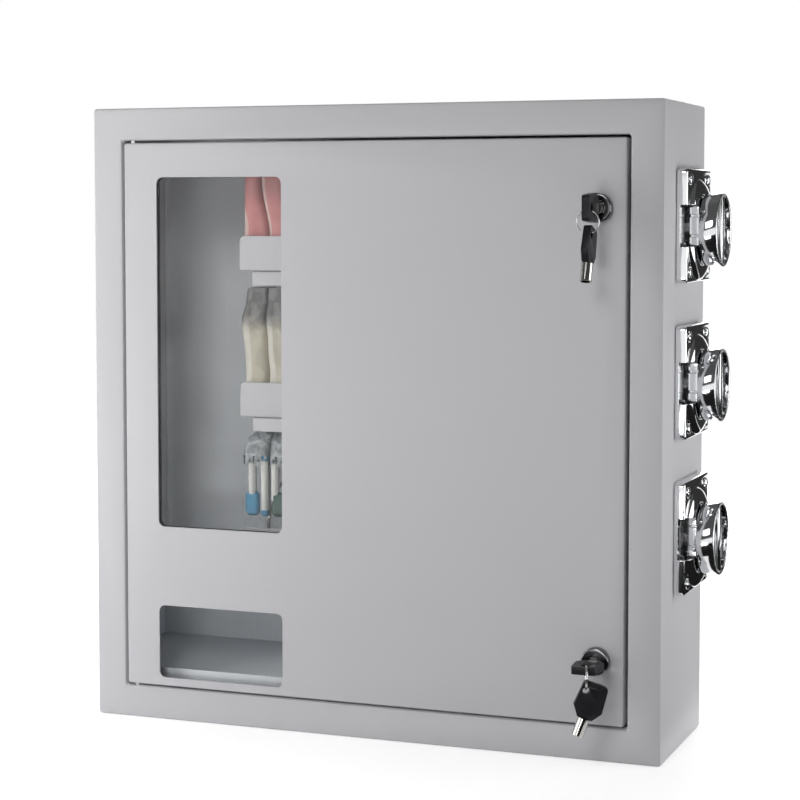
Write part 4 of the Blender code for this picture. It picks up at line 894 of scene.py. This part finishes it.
def loft(name, rings, matrix, looks, pick):
    """A closed skin through rings of points, from the bottom up. Pick gives each face its finish."""
    bm = bmesh.new()
    rows = [[bm.verts.new(point) for point in ring] for ring in rings]
    sides = len(rows[0])
    for index, (below, above) in enumerate(zip(rows, rows[1:])):
        for side in range(sides):
            after = (side + 1) % sides
            face = bm.faces.new((below[side], below[after], above[after], above[side]))
            face.material_index = pick(index / (len(rows) - 1), side)
    bm.faces.new(list(reversed(rows[0])))
    bm.faces.new(rows[-1]).material_index = pick(1.0, 0)
    bmesh.ops.recalc_face_normals(bm, faces=bm.faces)
    piece = link(name, mesh_from(bm, name), None, matrix)
    for look in looks:
        piece.data.materials.append(look)
    piece.data.shade_smooth()
    piece.data.set_sharp_from_angle(angle=PACK_SMOOTH_ANGLE)
    return piece


def blended(stops, share):
    """A value between the (share, value) stops, joined by smooth steps."""
    for (start, first), (end, second) in zip(stops, stops[1:]):
        if share <= end:
            way = (share - start) / (end - start)
            way = way * way * (3 - 2 * way)
            return first + (second - first) * way
    return stops[-1][1]


def evenly(loop, count):
    """Points at even distances on a smooth closed curve through the loop."""
    total = len(loop)
    fine = []
    for index in range(total):
        a, b, c, d = (Vector(loop[(index + shift) % total]) for shift in (-1, 0, 1, 2))
        for step in range(PACK_CURVE_STEPS):
            t = step / PACK_CURVE_STEPS
            fine.append(0.5 * (2 * b + (c - a) * t + (2 * a - 5 * b + 4 * c - d) * t * t
                               + (3 * b - a - 3 * c + d) * t ** 3))
    fine.append(fine[0])
    lengths = [0.0]
    for first, second in zip(fine, fine[1:]):
        lengths.append(lengths[-1] + (second - first).length)
    spots, index = [], 0
    for number in range(count):
        goal = lengths[-1] * number / count
        while lengths[index + 1] < goal:
            index += 1
        way = (goal - lengths[index]) / (lengths[index + 1] - lengths[index])
        spots.append(fine[index].lerp(fine[index + 1], way))
    return spots


def pack_ring(left, right, height, share, deep, seed, crease):
    """One outline of a pack at a share of its height."""
    free = blended(((0.0, 0.0), (COIL_CLEAR_SHARES[0], 0.0), (COIL_CLEAR_SHARES[1], 1.0), (1.0, 1.0)),
                   share)
    half = (right - left) / 2
    middle = (right + left) / 2
    loops = []
    for edge, sign in ((right, 1), (left, -1)):
        front = [(edge + sign * step, y * deep) for step, y in CHEEK]
        back = []
        for (narrow, y), (wide, y_wide) in zip(WEDGE, OPEN_WEDGE):
            reach = (narrow + (wide - narrow) * free) * min(1.0, abs(edge) / WEDGE[0][0])
            back.append((sign * reach, (y + (y_wide - y) * free) * deep))
        loops.append(front + back)
    loop = loops[0] + [(0.0, -CHEEK[0][1] * deep)] + list(reversed(loops[1]))
    ring = []
    for number, spot in enumerate(evenly(loop, PACK_SIDES)):
        x, y = spot
        inside = max(0.0, 1 - ((x - middle) / half) ** 2)
        front = max(0.0, -y / -CHEEK[0][1])
        away = Vector((x - middle, y * PUSH_DEPTH_SHARE)).normalized()
        dent = Vector((x * DENT_RUN[0], y * DENT_RUN[1],
                       height * share * DENT_RUN[2] + seed * DENT_SEED_STEP))
        fold = Vector((number * FOLD_RUN[0], share * FOLD_RUN[1], seed * FOLD_SEED_STEP))
        push = crease * (noise.noise(dent) + FOLD_SHARE * noise.noise(fold))
        rise = Vector((x * WAVE_RUN[0], y * WAVE_RUN[1], seed * WAVE_SEED_STEP))
        wave = PACK_WAVE * math.sin(math.pi * share) * noise.noise(rise)
        ring.append(Vector((x + push * away.x, y + push * away.y - PACK_CROWN * inside * front,
                            height * share + wave)))
    return ring


def pack_skin(name, tier, place, height, number, seed, crease, looks, pick):
    """The skin of a pack. The first of the row has a free left edge, and each fills up to the next."""
    rings = []
    for step in range(PACK_RINGS + 1):
        share = step / PACK_RINGS
        shared = blended(SHARED_EDGES[tier], share)
        left = blended(FREE_EDGES[tier], share) if number == 0 else shared
        right = COIL_PITCH + shared - PACK_GAP
        if number == PACKS_PER_TIER - 1:
            right = -blended(FREE_EDGES[tier], share)
        rings.append(pack_ring(left, right, height, share, blended(DEPTHS[tier], share), seed, crease))
    return loft(name, rings, at(*place), looks, pick)


def seal_or_body(share, side):
    """1 on the narrow seal of a sleeve, 0 elsewhere."""
    return 1 if side in SEAL_SIDES else 0


def highlight_strip_or_body(share, side):
    """1 on the strip down the left edge of the front, painted lighter as a highlight, 0 elsewhere."""
    return 1 if side in STRIP_SIDES else 0


def kit_part(share, side):
    """1 on the crumpled top of the film, 0 on the clear part, with a ragged line between them."""
    return 1 if share > CLEAR_SHARE + CLEAR_RAG * math.sin(side * CLEAR_RAG_RUN) else 0


def sleeve(name, place, height, number, seed):
    """A soft sleeve with a lighter seal down its left edge."""
    return pack_skin(name, "upper", place, height, number, seed, SLEEVE_CREASE, (ROSE, CREAM),
                     seal_or_body)


def bag(name, place, height, number, seed):
    """A gathered bag, filled to its shoulder, with a painted highlight down the left edge of its front."""
    return pack_skin(name, "middle", place, height, number, seed, BAG_CREASE, (LINEN, LINEN_EDGE_HIGHLIGHT),
                     highlight_strip_or_body)


def kit(name, place, height, number, seed):
    """A clear bag with handles and coloured heads in it."""
    skin = pack_skin(f"{name} film", "lower", place, height, number, seed, KIT_CREASE,
                     (CLEAR_FILM, FILM), kit_part)
    front = CHEEK[0][1] + KIT_WALL
    tone, shift = ((BLUE_PLASTIC, 0.0), (GREEN_PLASTIC, GREEN_SHIFT))[number % 2]
    # Middle, foot, top and half width of each handle; left, foot, right, top and edge of each head
    bars = ((-0.0020, 0.042, 0.0700, 0.0026, WHITE_PLASTIC), (0.0080, 0.034, 0.0715, 0.0027, WHITE_PLASTIC),
            (0.0080, 0.0715, 0.0760, 0.0028, BLUE_PLASTIC))
    heads = ((-0.0076 + shift, 0.0310, 0.0034 + shift, 0.0490, 0.0026, tone),
             (0.0052, 0.0310, 0.0112, 0.0365, 0.0014, BLUE_PLASTIC))
    parts = []
    for x, low, high, reach, look in bars:
        bar = block(f"{name} handle", (x - reach, front, low), (x + reach, front + 2 * reach, high), look)
        parts.append(settled(rounded(bar, reach * HANDLE_EDGE_SHARE)))
    for left, low, right, high, edge, look in heads:
        head = block(f"{name} head", (left, front - HEAD_BITE, low), (right, front + HEAD_DEPTH, high), look)
        parts.append(settled(rounded(head, edge, 1)))
    for part in parts:
        part.matrix_world = at(*place) @ part.matrix_world
    return merged(name, [skin, *parts])


def packs(tier, form, slot):
    """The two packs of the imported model, and the rest of the row to their right."""
    first_low, first_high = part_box(f"{tier}_pack_1")
    for number in range(PACKS_PER_TIER):
        place = Vector(((first_low.x + first_high.x) / 2 + COIL_PITCH * number,
                        (first_low.y + first_high.y) / 2, first_low.z))
        nodes = [f"{tier}_pack_{number + 1}"] if number < 2 else []
        piece = form(f"{tier}_soft_pack_{number + 1}", place, first_high.z - first_low.z, number,
                     number + 1.0 + 10 * TIERS.index(tier))
        place_piece(piece, f"{tier}_packs", slot, *nodes)


# Studio

def studio_look(name, colour, near, far):
    """A pale floor, white to the camera and in reflections, that keeps the shadows near the cabinet."""
    made = bpy.data.materials.new(name)
    made.use_nodes = True
    nodes, links = made.node_tree.nodes, made.node_tree.links
    nodes.clear()
    out = nodes.new("ShaderNodeOutputMaterial")
    diffuse = nodes.new("ShaderNodeBsdfDiffuse")
    diffuse.inputs["Color"].default_value = (*colour, 1.0)
    glow = nodes.new("ShaderNodeEmission")
    glow.inputs["Color"].default_value = (1.0, 1.0, 1.0, 1.0)
    path = nodes.new("ShaderNodeLightPath")
    seen = seen_by(nodes, links, path)
    level = nodes.new("ShaderNodeMath")
    level.operation = "MULTIPLY"
    links.new(seen, level.inputs[0])
    place = nodes.new("ShaderNodeTexCoord")
    distance = nodes.new("ShaderNodeVectorMath")
    distance.operation = "LENGTH"
    links.new(place.outputs["Object"], distance.inputs[0])
    spread = nodes.new("ShaderNodeMapRange")
    spread.interpolation_type = "SMOOTHSTEP"
    for key, value in zip(("From Min", "From Max", "To Min", "To Max"), (*FLOOR_REACH, near, far)):
        spread.inputs[key].default_value = value
    links.new(distance.outputs["Value"], spread.inputs["Value"])
    links.new(spread.outputs["Result"], level.inputs[1])
    links.new(level.outputs[0], glow.inputs["Strength"])
    both = nodes.new("ShaderNodeAddShader")
    links.new(diffuse.outputs[0], both.inputs[0])
    links.new(glow.outputs[0], both.inputs[1])
    links.new(both.outputs[0], out.inputs["Surface"])
    return made


def seen_by(nodes, links, path):
    """1 for camera, glossy and transmission rays."""
    total = path.outputs["Is Camera Ray"]
    for kind in ("Is Glossy Ray", "Is Transmission Ray"):
        more = nodes.new("ShaderNodeMath")
        more.operation = "MAXIMUM"
        links.new(total, more.inputs[0])
        links.new(path.outputs[kind], more.inputs[1])
        total = more.outputs[0]
    return total


def floor():
    bm = bmesh.new()
    bmesh.ops.create_grid(bm, x_segments=1, y_segments=1, size=FLOOR_SIZE)
    plane = link("studio_floor", mesh_from(bm, "studio_floor"),
                 studio_look("pale_floor", FLOOR_COLOUR, *FLOOR_WHITE), at(0.0, 0.0, -FLOOR_DROP))


def cards():
    """Grey and dark cards that only reflections see: above, behind, and on the floor in front and beside."""
    for name, low, high, level in CARDS:
        made = bpy.data.materials.new(name)
        made.use_nodes = True
        nodes, links = made.node_tree.nodes, made.node_tree.links
        nodes.clear()
        glow = nodes.new("ShaderNodeEmission")
        glow.inputs["Strength"].default_value = level
        links.new(glow.outputs[0], nodes.new("ShaderNodeOutputMaterial").inputs["Surface"])
        card = block(name, low, high, made)
        card.visible_camera = False
        card.visible_diffuse = False
        card.visible_transmission = False
        card.visible_shadow = False


def world(level):
    sky = bpy.data.worlds.new("studio")
    sky.use_nodes = True
    bpy.context.scene.world = sky
    nodes, links = sky.node_tree.nodes, sky.node_tree.links
    back = nodes["Background"]
    back.inputs["Color"].default_value = (1.0, 1.0, 1.0, 1.0)
    path = nodes.new("ShaderNodeLightPath")
    seen = seen_by(nodes, links, path)
    strength = nodes.new("ShaderNodeMapRange")
    strength.inputs["To Min"].default_value = level
    strength.inputs["To Max"].default_value = 1.0
    links.new(seen, strength.inputs["Value"])
    links.new(strength.outputs["Result"], back.inputs["Strength"])


def lamp(name, place, target, width, height, power):
    data = bpy.data.lights.new(name, "AREA")
    data.shape = "RECTANGLE"
    data.size = width
    data.size_y = height
    data.energy = power
    light = bpy.data.objects.new(name, data)
    bpy.context.scene.collection.objects.link(light)
    light.location = place
    light.rotation_euler = (Vector(target) - Vector(place)).to_track_quat("-Z", "Y").to_euler()


def camera():
    data = bpy.data.cameras.new("camera")
    data.lens = CAMERA_LENS
    data.sensor_width = CAMERA_SENSOR
    data.shift_y = CAMERA_SHIFT_Y
    data.dof.use_dof = False
    eye = bpy.data.objects.new("camera", data)
    bpy.context.scene.collection.objects.link(eye)
    forward = Vector((-math.sin(CAMERA_YAW) * math.cos(CAMERA_PITCH),
                      math.cos(CAMERA_YAW) * math.cos(CAMERA_PITCH), -math.sin(CAMERA_PITCH)))
    aim = forward.to_track_quat("-Z", "Y").to_matrix().to_4x4()
    eye.matrix_world = Matrix.Translation(CAMERA_PLACE) @ aim
    bpy.context.scene.camera = eye


kept_pieces()
for tier in TIERS:
    axis = JOINTS[f"{tier}_drive_turn"]
    coin_face(tier, axis)
    knob(tier, axis)
    spiral(tier, axis)
for name in LOCKS:
    lock(name)
keys()
packs("upper", sleeve, "pink_sleeve")
packs("middle", bag, "cream_bag")
packs("lower", kit, "white_bag")
floor()
cards()
world(WORLD_LEVEL)
for values in LAMPS:
    lamp(*values)
camera()
bpy.context.scene.view_settings.view_transform = "Standard"
